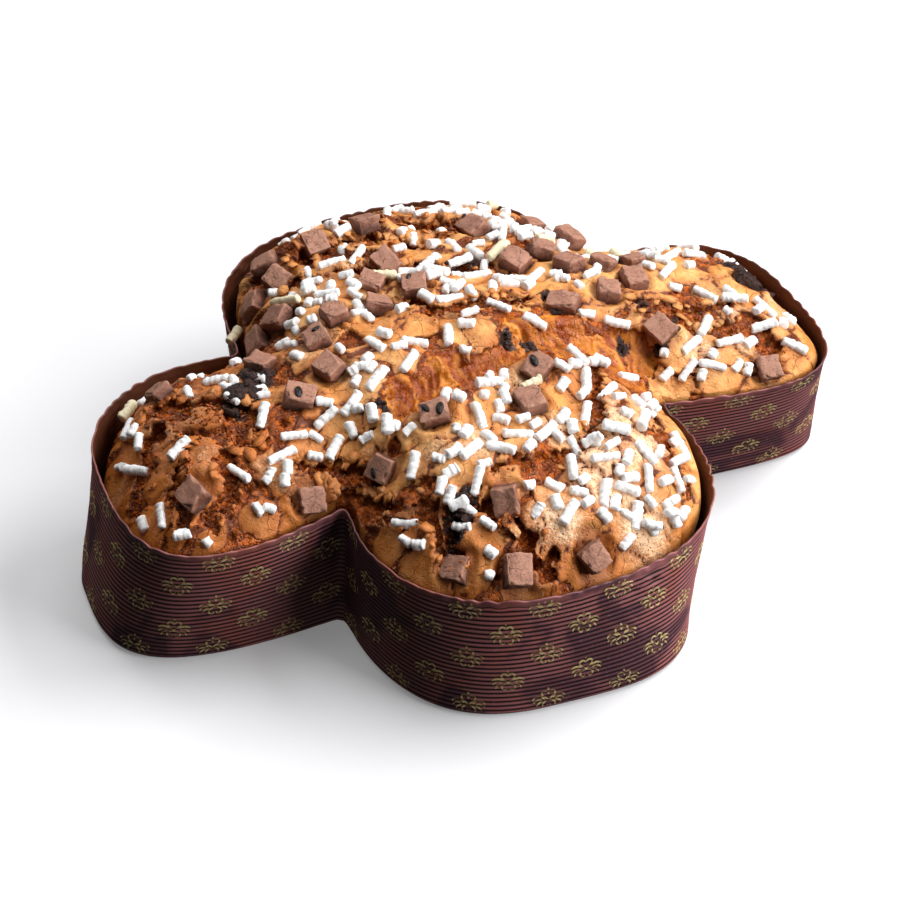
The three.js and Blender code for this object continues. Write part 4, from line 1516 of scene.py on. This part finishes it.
@dataclass
class GlazeFlakes:
    """Thin bits of glaze that stand up along the torn edges."""

    surface: TopSurface
    crust: CakeCrust
    count: int = 260
    corners: int = 9
    thick: float = 0.32
    seed: int = 910

    def places(self) -> tuple[Array, Array]:
        """Where they lie on the plan, and random numbers for each."""
        draws = RandomStream(self.seed).batch(26000, 7)
        flat = over_plan(draws, BITS_REACH)
        shares = np.stack([split.distance(flat) / split.width for split in SPLITS])
        nearest = shares.min(axis=0)
        kept = (nearest > 0.36) & (nearest < 0.56) & (shares[0] > 0.75)
        kept[kept] = self.surface.edge_distance(flat[kept]) > 5
        chosen = np.flatnonzero(kept)[: self.count]
        return flat[chosen], draws[chosen, 2:]

    def build(self) -> Object:
        """Makes them as one mesh."""
        flat, luck = self.places()
        values = self.crust.values(flat)
        level = self.surface.height(flat) + values["height"] + 0.25
        centre = np.concatenate([flat, level[:, None]], axis=1)
        normal = self.surface.normal(flat)
        tilt = math.radians(34) * (luck[:, 0] - 0.25)
        ahead = self.surface.heading(flat, TURN * luck[:, 1])
        across = np.cross(normal, ahead)
        lifted = ahead * np.cos(tilt)[:, None] + normal * np.sin(tilt)[:, None]
        up = np.cross(lifted, across)
        size = 0.9 + 1.5 * luck[:, 2] ** 2
        parts = MeshParts()
        masks = dict.fromkeys(("crumb", "tear", "melt", "crack", "foot_shade", "strand"), 0.0)
        turn = TURN * np.arange(self.corners) / self.corners
        for k in range(len(flat)):
            cell = np.stack([np.arange(self.corners), np.full(self.corners, k)], axis=1)
            masks["bake"] = float(values["bake"][k])
            reach = size[k] * (0.7 + 0.5 * hashed(cell, self.seed))
            rim = centre[k] + lifted[k] * (1.4 * reach * np.cos(turn))[:, None]
            rim = rim + across[k] * (reach * np.sin(turn))[:, None]
            upper = parts.add(rim + up[k] * 0.5 * self.thick, near=0.7, porous=0.0, **masks)
            lower = parts.add(rim - up[k] * 0.5 * self.thick, near=1.0, porous=0.0, **masks)
            bubbly = float(luck[k, 3]) * 0.6
            crest = parts.add(centre[k] + up[k] * self.thick, near=0.1, porous=bubbly, **masks)
            base = parts.add(centre[k] - up[k] * 0.4 * self.thick, near=1.0, porous=0.0, **masks)
            parts.band(lower, upper)
            parts.fan(upper, crest)
            parts.fan(lower[::-1], base)
        return parts.build("glaze_flakes", self.crust.material, Slot.CRUST)


# ---- what lies on it ----


@dataclass
class SugarRods:
    """Rods of pressed sugar, the longest first, where the solid has them, and some piled on others."""

    surface: TopSurface
    crust: CakeCrust
    chunks: Array
    total: int = 420
    fused: int = 96  # how many of them the solid has
    shown: int = 300  # how far down the list the shorter ones are laid
    broken: float = 0.74  # how much of its length each of the scene's own keeps
    piled: int = 20
    radius: float = 1.7
    longest: float = 10.6
    shortest: float = 4.6
    lift: float = 0.55
    seed: int = 1917
    raised: float = 2.1  # how far the piled ones lie above the others
    tinted_raised: float = 1.9
    laid_seed: int = 610
    piled_seed: int = 640
    tinted_seed: int = 660
    edge: float = 7.0
    spacing: float = 0.82
    chunk_clear: float = 10.2
    base_share: float = 0.16
    around: int = 12
    along: int = 21
    bevel: float = 0.45  # how much of each end is worn
    lobe: float = 2.1  # length of the ridges that the press leaves
    zones: Zones = round_zones(
        (45, -42, 18, 1), (25, -80, 20, 1), (8, -50, 18, 0.7), (-12, -40, 16, 0.7),
        (-48, -15, 18, 0.8), (-50, 38, 17, 0.8), (-18, 60, 20, 0.8), (8, 30, 15, 0.5),
        (45, 44, 20, 1), (82, 18, 14, 0.6), (76, -28, 15, 0.9), (108, -20, 18, 0.25),
        (-112, 18, 16, 0.25), (-78, -30, 15, 0.5), (-46, -82, 14, 0.8),
    )
    # Where fewer of the scene's own rods lie.
    sparse: Zones = round_zones(
        (102, -2, 20, 0.75), (-100, -8, 20, 0.85), (-45, -84, 9, 0.5), (-40, 66, 18, 0.5),
        (10, 88, 20, 0.5),
    )
    # The rods that the oven has tinted, each by the places of its two ends on the plan.
    tinted: tuple[tuple[float, float, float, float], ...] = (
        (-53, 49, -43.5, 40.5), (-18.5, 41, -10, 35.5), (27, 35, 37, 40.5), (47.5, 40, 55, 39),
        (66.5, 35, 69, 32), (77, 32, 76.5, 25), (43.5, 73, 49, 75), (4, -36.5, 12, -36),
        (-109, 37, -116, 31), (-68, 55, -62, 60),
    )

    def share(self, points: Array) -> Array:
        """How likely a rod is to lie at places on the plan."""
        share = np.maximum(self.base_share, strongest(self.zones, points))
        return share * (1.0 - np.max([split.share(points) for split in SPLITS], axis=0))

    def within(self, points: Array) -> Array:
        """Whether places on the plan lie inside the rim."""
        rim = self.surface.plan.rim_corners
        angles = np.arctan2(rim[:, 1], rim[:, 0])
        turn = np.arctan2(points[:, 1], points[:, 0])
        reach = np.interp(turn, angles, np.linalg.norm(rim, axis=1), period=TURN)
        return np.linalg.norm(points, axis=1) < reach

    def candidates(self, stream: RandomStream, count: int, laid: Array) -> Array:
        """The next places that a rod may take, as rows of x, y and heading, clear of those laid before."""
        draws = stream.batch(count, 4)
        points = over_plan(draws, PLAN_REACH)
        kept = self.within(points)
        away = np.hypot(*(points[:, None] - laid[:, :2]).transpose(2, 0, 1))
        kept &= (away >= self.spacing * (self.shortest + laid[:, 3]) / 2).all(axis=1)
        rods = np.concatenate([points, draws[:, 3:] * math.pi], axis=1)
        rods, wanted = rods[kept], draws[kept, 2]
        chosen = self.share(rods[:, :2]) >= wanted
        rods = rods[chosen]
        return rods[self.surface.edge_distance(rods[:, :2]) >= self.edge]

    def blocked(self, x: float, y: float, heading: float, length: float) -> bool:
        """Whether a rod would lie against a chocolate piece."""
        ahead = np.array([math.cos(heading), math.sin(heading)])
        away = self.chunks - np.array([x, y])
        run = np.clip(away @ ahead, -0.5 * length, 0.5 * length)
        return bool((np.linalg.norm(away - run[:, None] * ahead, axis=1) < self.chunk_clear).any())

    def places(self) -> Array:
        """Every rod as a row of x, y, heading and length."""
        stream = RandomStream(self.seed)
        laid = np.zeros((0, 4))
        for _ in range(60):
            for x, y, heading in self.candidates(stream, 8000, laid):
                if len(laid) == self.shown:
                    return self.thinned(laid)
                length = self.longest - (self.longest - self.shortest) * len(laid) / self.total
                away = np.hypot(x - laid[:, 0], y - laid[:, 1])
                crowded = (away < self.spacing * (length + laid[:, 3]) / 2).any()
                if not crowded and not self.blocked(x, y, heading, length):
                    laid = np.concatenate([laid, [[x, y, heading, length]]])
        return self.thinned(laid)

    def thinned(self, laid: Array) -> Array:
        """The rods without those of the scene's own that lie on bare crumb or where few belong."""
        flat = laid[:, :2]
        laid[self.fused :, 3] *= self.broken
        values = self.crust.values(flat)
        luck = hashed(np.arange(len(laid))[:, None], self.seed)
        kept = np.maximum(values["crumb"], values["tear"]) < 0.4
        kept &= luck < 1.05 * self.share(flat) ** 0.6 * (1.0 - strongest(self.sparse, flat))
        kept[: self.fused] = True
        return laid[kept]

    def lay(self, parts: MeshParts, rods: Array, raised: float, seed: int) -> None:
        """Adds rods to a mesh.

        Args:
            parts: the mesh to add to.
            rods: rows of x, y, heading and length.
            raised: how far they lie above the crust.
            seed: tells one batch from another.
        """
        flat, heading, length = rods[:, :2], rods[:, 2], rods[:, 3]
        count = len(rods)
        own = np.stack([np.arange(count), np.full(count, seed)], axis=1)
        luck = [2 * hashed(own, seed + k) - 1 for k in range(8)]
        normal = self.surface.normal(flat)
        ahead = normed(self.surface.heading(flat, heading) + normal * (0.13 * luck[0])[:, None])
        across = np.cross(normal, ahead)
        up = np.cross(ahead, across)
        reach = 0.3 * length[:, None] * np.stack([np.cos(heading), np.sin(heading)], axis=1)
        fine = np.mean([self.crust.values(flat + k * reach)["height"] for k in (-1, 0, 1)], axis=0)
        level = self.surface.height(flat) + np.clip(fine, -1.5, 1.6)
        centre = np.concatenate([flat, level[:, None]], axis=1) + normal * (self.lift + raised)

        worn = (2 * self.bevel / length)[:, None]
        spot = np.linspace(-1, 1, self.along - 4) * (1 - worn)
        near_end = 1 - 0.4 * worn
        full = np.ones_like(worn)
        spot = np.concatenate([-full, -near_end, spot, near_end, full], axis=1)
        body = np.ones(self.along)
        body[[0, -1]], body[[1, -2]] = 0.60, 0.86
        pitch = self.lobe * (1.0 + 0.15 * luck[6])[:, None]
        lobes = np.abs(np.sin(math.pi * (0.5 * spot * length[:, None] / pitch + luck[2][:, None]))) ** 0.7
        thick = self.radius * (1.0 + 0.13 * luck[1])[:, None]
        radius = thick * body * (0.90 + 0.13 * lobes) * (1.0 + 0.05 * luck[7][:, None] * spot)
        bend = 0.35 * luck[3][:, None] * (1 - spot**2)
        axis = (
            centre[:, None] + ahead[:, None] * (0.5 * spot * length[:, None])[..., None]
            + across[:, None] * bend[..., None]
        )
        turn = TURN * np.arange(self.around) / self.around
        flattened = 1.0 + 0.09 * luck[4][:, None, None, None]
        ring = across[:, None, None] * np.cos(turn)[:, None] * flattened
        ring = ring + up[:, None, None] * np.sin(turn)[:, None] / flattened
        points = axis[:, :, None] + ring * radius[:, :, None, None]
        lumps = noise(points + 50.0 * own[:, None, None, :1], 1.8, seed + 9, 2)
        slant = 0.35 * (luck[5][:, None, None] * np.cos(turn))
        slant = slant * (np.abs(spot) ** 6 * np.sign(spot))[..., None]
        points = axis[:, :, None] + ring * (radius[:, :, None] * (1.0 + 0.21 * lumps))[..., None]
        for rod in points + ahead[:, None, None] * slant[..., None]:
            parts.closed(rod)

    def build(self, rods: Array, material: Material) -> Object:
        """Makes all white rods as one mesh, which with the crust stands for the cake's solid."""
        stream = RandomStream(self.seed + 1)
        riders = []
        for _ in range(self.piled):
            x, y, heading, length = rods[int(stream.draw() * len(rods))]
            if self.share(np.array([x, y])) > 0.35:
                turn, length = heading + stream.between(0.8, 2.2), stream.between(4.4, 7.6)
                riders.append([x + stream.between(-2, 2), y + stream.between(-2, 2), turn, length])
        parts = MeshParts()
        self.lay(parts, rods, 0.0, self.laid_seed)
        self.lay(parts, np.array(riders), self.raised, self.piled_seed)
        made = parts.build("sugar_rods", material, Slot.SUGAR)
        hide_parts("cake")
        return made

    def build_tinted(self, material: Material) -> Object:
        """Makes the few rods that the oven has tinted."""
        ends = np.array(self.tinted)
        run = ends[:, 2:] - ends[:, :2]
        middle = 0.5 * (ends[:, :2] + ends[:, 2:])
        heading = np.arctan2(run[:, 1], run[:, 0])
        rods = np.column_stack([middle, heading, np.linalg.norm(run, axis=1)])
        parts = MeshParts()
        self.lay(parts, rods, self.tinted_raised, self.tinted_seed)
        return parts.build("tinted_rods", material, Slot.SUGAR)


@dataclass
class SugarNuggets(SugarRods):
    """Short broken bits of the rods, in the gaps between them."""

    total: int = 150
    seed: int = 2213
    laid_seed: int = 680
    around: int = 10
    along: int = 13
    lift: float = 0.75
    clear_of_rods: float = 3.2
    clear_of_chunks: float = 7.4

    def choose(self, rods: Array) -> Array:
        """Their places, as rows of x, y, heading and length, clear of the whole rods."""
        draws = RandomStream(self.seed).batch(9000, 5)
        flat = over_plan(draws, BITS_REACH)
        kept = self.within(flat) & (self.share(flat) * (1.0 - strongest(self.sparse, flat)) > draws[:, 2])
        kept[kept] = self.crust.values(flat[kept])["crumb"] < 0.4
        flat, draws = flat[kept], draws[kept]
        ahead = np.stack([np.cos(rods[:, 2]), np.sin(rods[:, 2])], axis=1)
        away = flat[:, None] - rods[:, :2]
        run = np.clip((away * ahead).sum(axis=2), -0.5 * rods[:, 3], 0.5 * rods[:, 3])
        from_rods = np.linalg.norm(away - run[..., None] * ahead, axis=2).min(axis=1)
        from_chunks = np.linalg.norm(flat[:, None] - self.chunks, axis=2).min(axis=1)
        kept = (from_rods > self.clear_of_rods) & (from_chunks > self.clear_of_chunks)
        kept &= self.surface.edge_distance(flat) > 5.5
        laid: list[Array] = []
        for place, luck in zip(flat[kept], draws[kept]):
            if all(np.hypot(*(place - other[:2])) > 3.3 for other in laid):
                laid.append(np.array([*place, math.pi * luck[3], 3.2 + 3.6 * luck[4]]))
            if len(laid) == self.total:
                break
        return np.array(laid)

    def build(self, rods: Array, material: Material) -> Object:
        """Makes them as one mesh."""
        parts = MeshParts()
        self.lay(parts, self.choose(rods), 0.0, self.laid_seed)
        return parts.build("sugar_nuggets", material, Slot.SUGAR)


@dataclass
class ChocolatePieces:
    """The chocolate pieces, each worn down from its own solid."""

    material: Material
    melted_material: Material
    steps: int = 14  # faces along each side
    rounding: float = 26.0  # power of the rounded block; higher is sharper
    soft_rounding: float = 5.0
    chips: float = 0.8
    softened: tuple[str, ...] = ("chocolate_tail_3", "chocolate_crown_7", "chocolate_back_wing_7")
    melted: tuple[str, ...] = ("chocolate_head_3",)

    def unit_grid(self) -> tuple[Array, Array]:
        """The skin of a cube from -1 to 1, as welded points and faces, with finer faces at its edges."""
        share = np.linspace(-1, 1, self.steps + 1)
        line = 0.5 * np.sin(0.5 * math.pi * share) + 0.5 * share
        u, v = np.meshgrid(line, line, indexing="ij")
        quads = []
        for axis in range(3):
            for side in (-1.0, 1.0):
                grid = np.roll(np.stack([np.full_like(u, side), u, v], axis=-1), axis, axis=-1)
                corners = [grid[:-1, :-1], grid[1:, :-1], grid[1:, 1:], grid[:-1, 1:]]
                ordered = corners if side > 0 else corners[::-1]
                quads.append(np.stack(ordered, axis=2).reshape(-1, 3))
        points, numbers = np.unique(np.round(np.concatenate(quads), 6), axis=0, return_inverse=True)
        return points, numbers.reshape(-1, 4)

    @staticmethod
    def corners(node: Object) -> Array:
        """The eight corners of a piece's solid, as [x][y][z] in its own directions."""
        places = np.array([vertex.co for vertex in node.data.vertices]) / MM - CROSSING
        places = np.unique(np.round(places, 3), axis=0)
        middle = places.mean(axis=0)
        _, _, axes = np.linalg.svd(places - middle)
        upright = axes[2] * np.sign(axes[2][2])
        local = (places - middle) @ np.stack([axes[0], np.cross(upright, axes[0]), upright]).T
        layers = []
        for layer in (local[:, 2] < 0, local[:, 2] >= 0):
            chosen = np.flatnonzero(layer)
            layers.append(chosen[np.argsort(np.arctan2(local[chosen, 1], local[chosen, 0]))])
        low, high = layers
        misfit = [np.linalg.norm(local[low, :2] - local[np.roll(high, turn), :2]) for turn in range(4)]
        high = np.roll(high, int(np.argmin(misfit)))
        cube = np.zeros((2, 2, 2, 3))
        for k, (a, b) in enumerate(((0, 0), (1, 0), (1, 1), (0, 1))):
            cube[a, b, 0], cube[a, b, 1] = places[low[k]], places[high[k]]
        return cube

    def block(self, unit: Array, power: float, seed: int) -> Array:
        """A cube with rounded edges and a few broken corners."""
        size = (np.abs(unit) ** power).sum(axis=1) ** (1 / power)
        block = unit / size[:, None]
        stream = RandomStream(7919 * seed + 13)
        for _ in range(3 + int(4 * stream.draw())):
            lean = np.array([stream.between(-1, 1) for _ in range(3)])
            normal = lean / np.linalg.norm(lean)
            limit = np.abs(normal).sum() * stream.between(0.74, 0.92)
            beyond = np.maximum(block @ normal - limit, 0.0)
            block = block - beyond[:, None] * normal
        return block

    def piece(self, name: str, seed: int, unit: Array, faces: Array) -> Object:
        """Makes one piece, which stands for its solid."""
        cube = self.corners(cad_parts[name])
        is_melted = name in self.melted
        soft = is_melted or name in self.softened
        share = 0.5 + 0.5 * self.block(unit, self.soft_rounding if soft else self.rounding, seed)
        points = np.zeros_like(unit)
        for corner in np.ndindex(2, 2, 2):
            weight = np.prod([share[:, k] if corner[k] else 1 - share[:, k] for k in range(3)], axis=0)
            points += weight[:, None] * cube[corner]
        outwards = normed(points - cube.reshape(8, 3).mean(axis=0))
        edge = ramp(0.72, 0.98, np.sort(np.abs(unit), axis=1)[:, 1])
        dents = 0.30 * noise(points, 3.4, seed, 3)
        bites = -self.chips * edge * ramp(0.10, 0.5, noise(points, 2.6, seed + 3, 2))
        sag = -0.35 * ramp(0.0, 1.0, noise(points, 9.0, seed + 5))
        crags = 0.9 * (0.4 - np.abs(noise(points, 4.5, seed + 7, 2))) * is_melted
        points = points + outwards * (dents + bites + sag + crags)[:, None]
        parts = MeshParts()
        level = unit[:, 2]
        # top marks each piece's upper face and low its lower sides, where the shader paints light and
        # shade.
        low, top = ramp(0.6, -0.8, level), ramp(0.7, 0.97, level)
        numbers = parts.add(points, edge=edge, low=low, top=top)
        parts.face(*numbers[faces].T)
        material = self.melted_material if is_melted else self.material
        made = parts.build(name + "_baked", material, Slot.DARK if is_melted else Slot.CHOCOLATE)
        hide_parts(name)
        return made

    def build(self) -> list[Object]:
        """Makes every piece."""
        unit, faces = self.unit_grid()
        names = sorted(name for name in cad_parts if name.startswith("chocolate_"))
        return [self.piece(name, 700 + 11 * k, unit, faces) for k, name in enumerate(names)]


@dataclass
class Lumps:
    """Small irregular lumps scattered on the cake, joined in one mesh."""

    surface: TopSurface
    crust: CakeCrust
    rows: int = 6
    around: int = 8

    def ball(self) -> Array:
        """Rows of a unit ball, from its lower to its upper end."""
        tilt = math.pi * (np.arange(self.rows) + 0.5) / self.rows
        turn = TURN * np.arange(self.around) / self.around
        level = -np.cos(tilt)[:, None] * np.ones(self.around)
        width = np.sin(tilt)[:, None]
        return np.stack([width * np.cos(turn), width * np.sin(turn), level], axis=-1)

    def bumps(self, places: Array, seed: int) -> Array:
        """How uneven the lumps are at places on them."""
        return noise(places, 0.9, seed, 2)

    def scatter(self, parts: MeshParts, flat: Array, sizes: Array, sink: float, rough: float, seed: int,
                flatness: float = 0.7, **values: float) -> None:
        """Adds a lump at each place on the plan.

        Args:
            parts: the mesh to add to.
            flat: places on the plan.
            sizes: the radius of each lump.
            sink: how much of its radius each lump sinks in.
            rough: how uneven they are, as a share of the radius.
            seed: tells one batch from another.
            flatness: their height as a share of their width.
            values: attributes that the mesh holds.
        """
        fine = self.crust.values(flat)["height"]
        level = self.surface.height(flat) + fine + sizes * (flatness - sink)
        centres = np.concatenate([flat, level[:, None]], axis=1)
        count = len(flat)
        own = np.stack([np.arange(count), np.full(count, seed)], axis=1)
        turn = TURN * hashed(own, seed)[:, None, None]
        stretch = 1.0 + 0.5 * hashed(own, seed + 1)[:, None, None]
        x, y, z = np.moveaxis(self.ball(), -1, 0)
        x, y = x * stretch, y / stretch
        spun = np.stack([
            x * np.cos(turn) - y * np.sin(turn),
            x * np.sin(turn) + y * np.cos(turn),
            np.broadcast_to(z * flatness, x.shape),
        ], axis=-1)
        bumps = self.bumps(spun + 7.0 * np.arange(count)[:, None, None, None], seed + 5)
        spun *= (1.0 + rough * bumps)[..., None] * sizes[:, None, None, None]
        for lump in centres[:, None, None] + spun:
            parts.closed(lump, **values)


@dataclass
class MeltedLumps(Lumps):
    """Chocolate that has run, scorched and set in crags."""

    rows: int = 9
    around: int = 14
    per_zone: float = 2.2  # lumps for each mm of a zone's reach
    seed: int = 810

    def bumps(self, places: Array, seed: int) -> Array:
        """Sharp ridges with hollows between them."""
        return 0.7 - 2.2 * np.abs(noise(places, 1.2, seed, 3))

    def build(self, material: Material) -> Object:
        """Makes them as one mesh."""
        stream = RandomStream(self.seed)
        flat, sizes = [], []
        for zone in self.crust.melts:
            for _ in range(round(self.per_zone * zone.reach)):
                turn, away = stream.between(0, TURN), 0.95 * zone.reach * stream.draw() ** 0.6
                flat.append([zone.x + away * math.cos(turn), zone.y + away * math.sin(turn)])
                sizes.append(stream.between(0.3, 0.62) * zone.reach)
        parts = MeshParts()
        self.scatter(parts, np.array(flat), np.array(sizes), 0.42, 0.5, self.seed, 0.6)
        return parts.build("melted_chocolate", material, Slot.DARK)


@dataclass
class Crumbs(Lumps):
    """Loose grains of crumb in the splits."""

    count: int = 2400
    seed: int = 840
    rows: int = 3
    around: int = 5

    def build(self, material: Material) -> Object:
        """Makes them as one mesh."""
        stream = RandomStream(self.seed)
        draws = stream.batch(60000, 4)
        flat = over_plan(draws, PLAN_REACH)
        near = np.min([split.distance(flat) / split.width for split in SPLITS], axis=0)
        kept = (near < 0.55) & (draws[:, 2] < ramp(0.55, 0.3, near))
        kept &= (self.surface.edge_distance(flat) > 4) & (TEAR.distance(flat) > 0.66 * TEAR.width)
        chosen = np.flatnonzero(kept)[: self.count]
        sizes = 0.3 + 0.55 * draws[chosen, 3] ** 2
        parts = MeshParts()
        self.scatter(parts, flat[chosen], sizes, 0.6, 0.5, self.seed, 0.8, crumb=1.0, **PLAIN)
        return parts.build("loose_crumbs", material, Slot.CRUST)


@dataclass
class DarkSpots:
    """Glossy oval drops of dark chocolate on some of the pieces."""

    # The piece that each lies on, its place there, its size and its turn in degrees.
    spots: tuple[tuple[str, float, float, float, float], ...] = (
        ("chocolate_front_wing_3", -2.4, 0.9, 1.15, 24), ("chocolate_front_wing_3", 2.3, -0.6, 1.45, -18),
        ("chocolate_front_wing_4", 0.6, 1.9, 1.1, 40), ("chocolate_tail_6", -0.8, -0.6, 1.5, 12),
        ("chocolate_back_wing_12", 2.6, 1.6, 0.9, 70), ("chocolate_front_wing_1", 0.6, 1.4, 1.4, -30),
        ("chocolate_back_wing_2", -1.6, 1.4, 1.0, 15),
    )
    # The rings of a drop from its foot up: the share of its size, and the height.
    rings: tuple[tuple[float, float], ...] = (
        (1.0, -0.5), (1.0, 0.05), (0.88, 0.38), (0.62, 0.52), (0.3, 0.70),
    )
    crest: float = 0.74

    def build(self, material: Material) -> Object:
        """Makes them as one mesh of low domes."""
        parts = MeshParts()
        turn = TURN * np.arange(18) / 18
        for name, x, y, size, heading in self.spots:
            cube = ChocolatePieces.corners(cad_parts[name])
            top = cube[:, :, 1].reshape(4, 3)
            middle = top.mean(axis=0)
            ahead = (cube[1, :, 1] - cube[0, :, 1]).mean(axis=0)
            ahead /= np.linalg.norm(ahead)
            beside = (cube[:, 1, 1] - cube[:, 0, 1]).mean(axis=0)
            normal = np.cross(ahead, beside)
            normal /= np.linalg.norm(normal)
            beside = np.cross(normal, ahead)
            centre = middle + ahead * x + beside * y
            cosine, sine = math.cos(math.radians(heading)), math.sin(math.radians(heading))
            ahead, beside = ahead * cosine + beside * sine, beside * cosine - ahead * sine
            rows = []
            for share, rise in self.rings:
                ring = ahead * (0.95 * size * share * np.cos(turn))[:, None]
                ring = ring + beside * (1.75 * size * share * np.sin(turn))[:, None]
                rows.append(centre + ring + normal * rise)
            numbers = parts.add(np.stack(rows))
            parts.rings(numbers)
            parts.fan(numbers[-1], parts.add(centre + normal * self.crest))
            parts.fan(numbers[0][::-1], parts.add(centre + normal * self.rings[0][1]))
        return parts.build("dark_drops", material, Slot.DARK)


# ---- floor, light and camera ----


@dataclass
class Studio:
    """A pale floor, soft lights and the camera."""

    eye: tuple[float, float, float] = (-262.0, -520.7, 587.8)
    target: tuple[float, float, float] = (9.5, 24.05, 0.0)
    roll: float = 2.0
    lens: float = 88.0
    floor_size: float = 6.0
    sky_strength: float = 0.05
    aim: tuple[float, float, float] = (0, 0, 0.04)  # what the lights face, in metres
    # The lights by name: place and size in metres, power in watts.
    lamps: tuple[tuple[str, tuple[float, float, float], float, float], ...] = (
        ("key", (0.85, -0.05, 0.95), 0.7, 16.0),
        ("top", (0.1, 0.35, 1.3), 0.9, 9.5),
        ("side", (0.80, -0.80, 0.6), 0.7, 14.5),
        ("sheen", (-0.25, 1.05, 0.55), 0.5, 2.6),
    )

    def floor(self) -> None:
        """Lays the floor."""
        half = 0.5 * self.floor_size
        mesh = bpy.data.meshes.new("floor")
        corners = [(-half, -half, 0), (half, -half, 0), (half, half, 0), (-half, half, 0)]
        mesh.from_pydata(corners, [], [(0, 1, 2, 3)])
        mesh.materials.append(FloorFinish().build())
        floor = shown("floor", mesh)
        floor.visible_diffuse, floor.visible_glossy = False, False

    def light(self, name: str, place: tuple[float, float, float], size: float, power: float) -> None:
        """Adds one soft square light that faces the cake."""
        data = bpy.data.lights.new(name, "AREA")
        data.size, data.energy = size, power
        lamp = shown(name, data)
        lamp.location = place
        aim = Vector(self.aim) - Vector(place)
        lamp.rotation_euler = aim.to_track_quat("-Z", "Y").to_euler()

    def camera(self) -> None:
        """Sets up the camera."""
        eye, target = Vector(self.eye) * MM, Vector(self.target) * MM
        level = (target - eye).to_track_quat("-Z", "Y")
        data = bpy.data.cameras.new("camera")
        data.lens, data.sensor_width = self.lens, 36.0
        data.clip_start, data.clip_end = 0.01, 20.0
        camera = shown("camera", data)
        turned = level @ Quaternion((0, 0, 1), math.radians(self.roll))
        camera.matrix_world = Matrix.LocRotScale(eye, turned, None)
        bpy.context.scene.camera = camera

    def build(self) -> None:
        """Sets up the whole studio."""
        self.camera()
        self.floor()
        for name, place, size, power in self.lamps:
            self.light(name, place, size, power)
        world = bpy.data.worlds.new("soft_white")
        world.use_nodes = True
        sky = world.node_tree.nodes["Background"].inputs
        sky["Color"].default_value = (1, 1, 1, 1)
        sky["Strength"].default_value = self.sky_strength
        bpy.context.scene.world = world
        bpy.context.scene.view_settings.view_transform = "Standard"
        bpy.context.scene.view_settings.look = "None"


# Where the chocolate pieces lie on the plan, by lobe, as their solids do.
CHUNKS = np.array([
    (-110, -22.5), (-73.5, -36.5), (-103.5, 30.5), (-69, 19.5), (-61, 43), (-64.5, -5),
    (-50.5, 1.5), (-48.5, 18.5), (-38.5, 26.5), (-53, 41.5), (-56, 60.5), (-45.5, 61.5), (-45, 74),
    (-28, 70),
    (-6.5, 72.5), (-8.5, 48.5), (-19, 37.5), (-6.5, 28), (-22, 25),
    (32.5, 60), (35, 30.5), (60.5, 65), (47.5, 34), (52.5, 20.5), (64.5, 44.5), (65.5, 19), (79.5, 20),
    (72, 7), (58.5, 2.5), (40, 1.5),
    (69, -18.5), (103.5, -39), (116, -0.5),
    (13, -30.5), (4.5, -42.5), (-28, -35.5), (-49, -40), (-20, -75.5), (0, -99), (-25.5, -95),
    (-42.5, -84.5),
], dtype=float)


def main() -> None:
    """Builds the cake and the studio."""
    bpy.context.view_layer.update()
    effects = Effects()
    Studio().build()
    plan = Plan("paper_case")
    surface = TopSurface(plan)
    case = PaperCase(plan, PaperFinish(effects).build())
    case.build()
    GoldPrint(case, GoldFinish(effects).build()).build()
    crust_material = CrustFinish(effects).build()
    crust = CakeCrust(surface, crust_material, CHUNKS)
    crust.build()
    GlazeFlakes(surface, crust).build()
    rods = SugarRods(surface, crust, CHUNKS)
    places = rods.places()
    sugar = SugarFinish(effects).build()
    rods.build(places, sugar)
    SugarNuggets(surface, crust, CHUNKS).build(places, sugar)
    # The second colour is the painted shade in the hollows of the grain.
    tinted = SugarFinish(effects, "tinted_sugar", linear(238, 226, 192), linear(212, 196, 152))
    rods.build_tinted(tinted.build())
    burnt = (linear(34, 16, 11), linear(68, 38, 28))
    scorched_material = DarkFinish(effects, "scorched_chocolate", *burnt, gloss=0.30, crags=0.9).build()
    ChocolatePieces(ChocolateFinish(effects).build(), scorched_material).build()
    MeltedLumps(surface, crust).build(scorched_material)
    black = (linear(20, 10, 8), linear(36, 19, 14))
    DarkSpots().build(DarkFinish(effects, "glossy_drops", *black, gloss=0.16, crags=0.35).build())
    Crumbs(surface, crust).build(crust_material)


if __name__ == "__main__":
    logging.basicConfig(level=logging.INFO, format="%(name)s %(message)s")
    main()
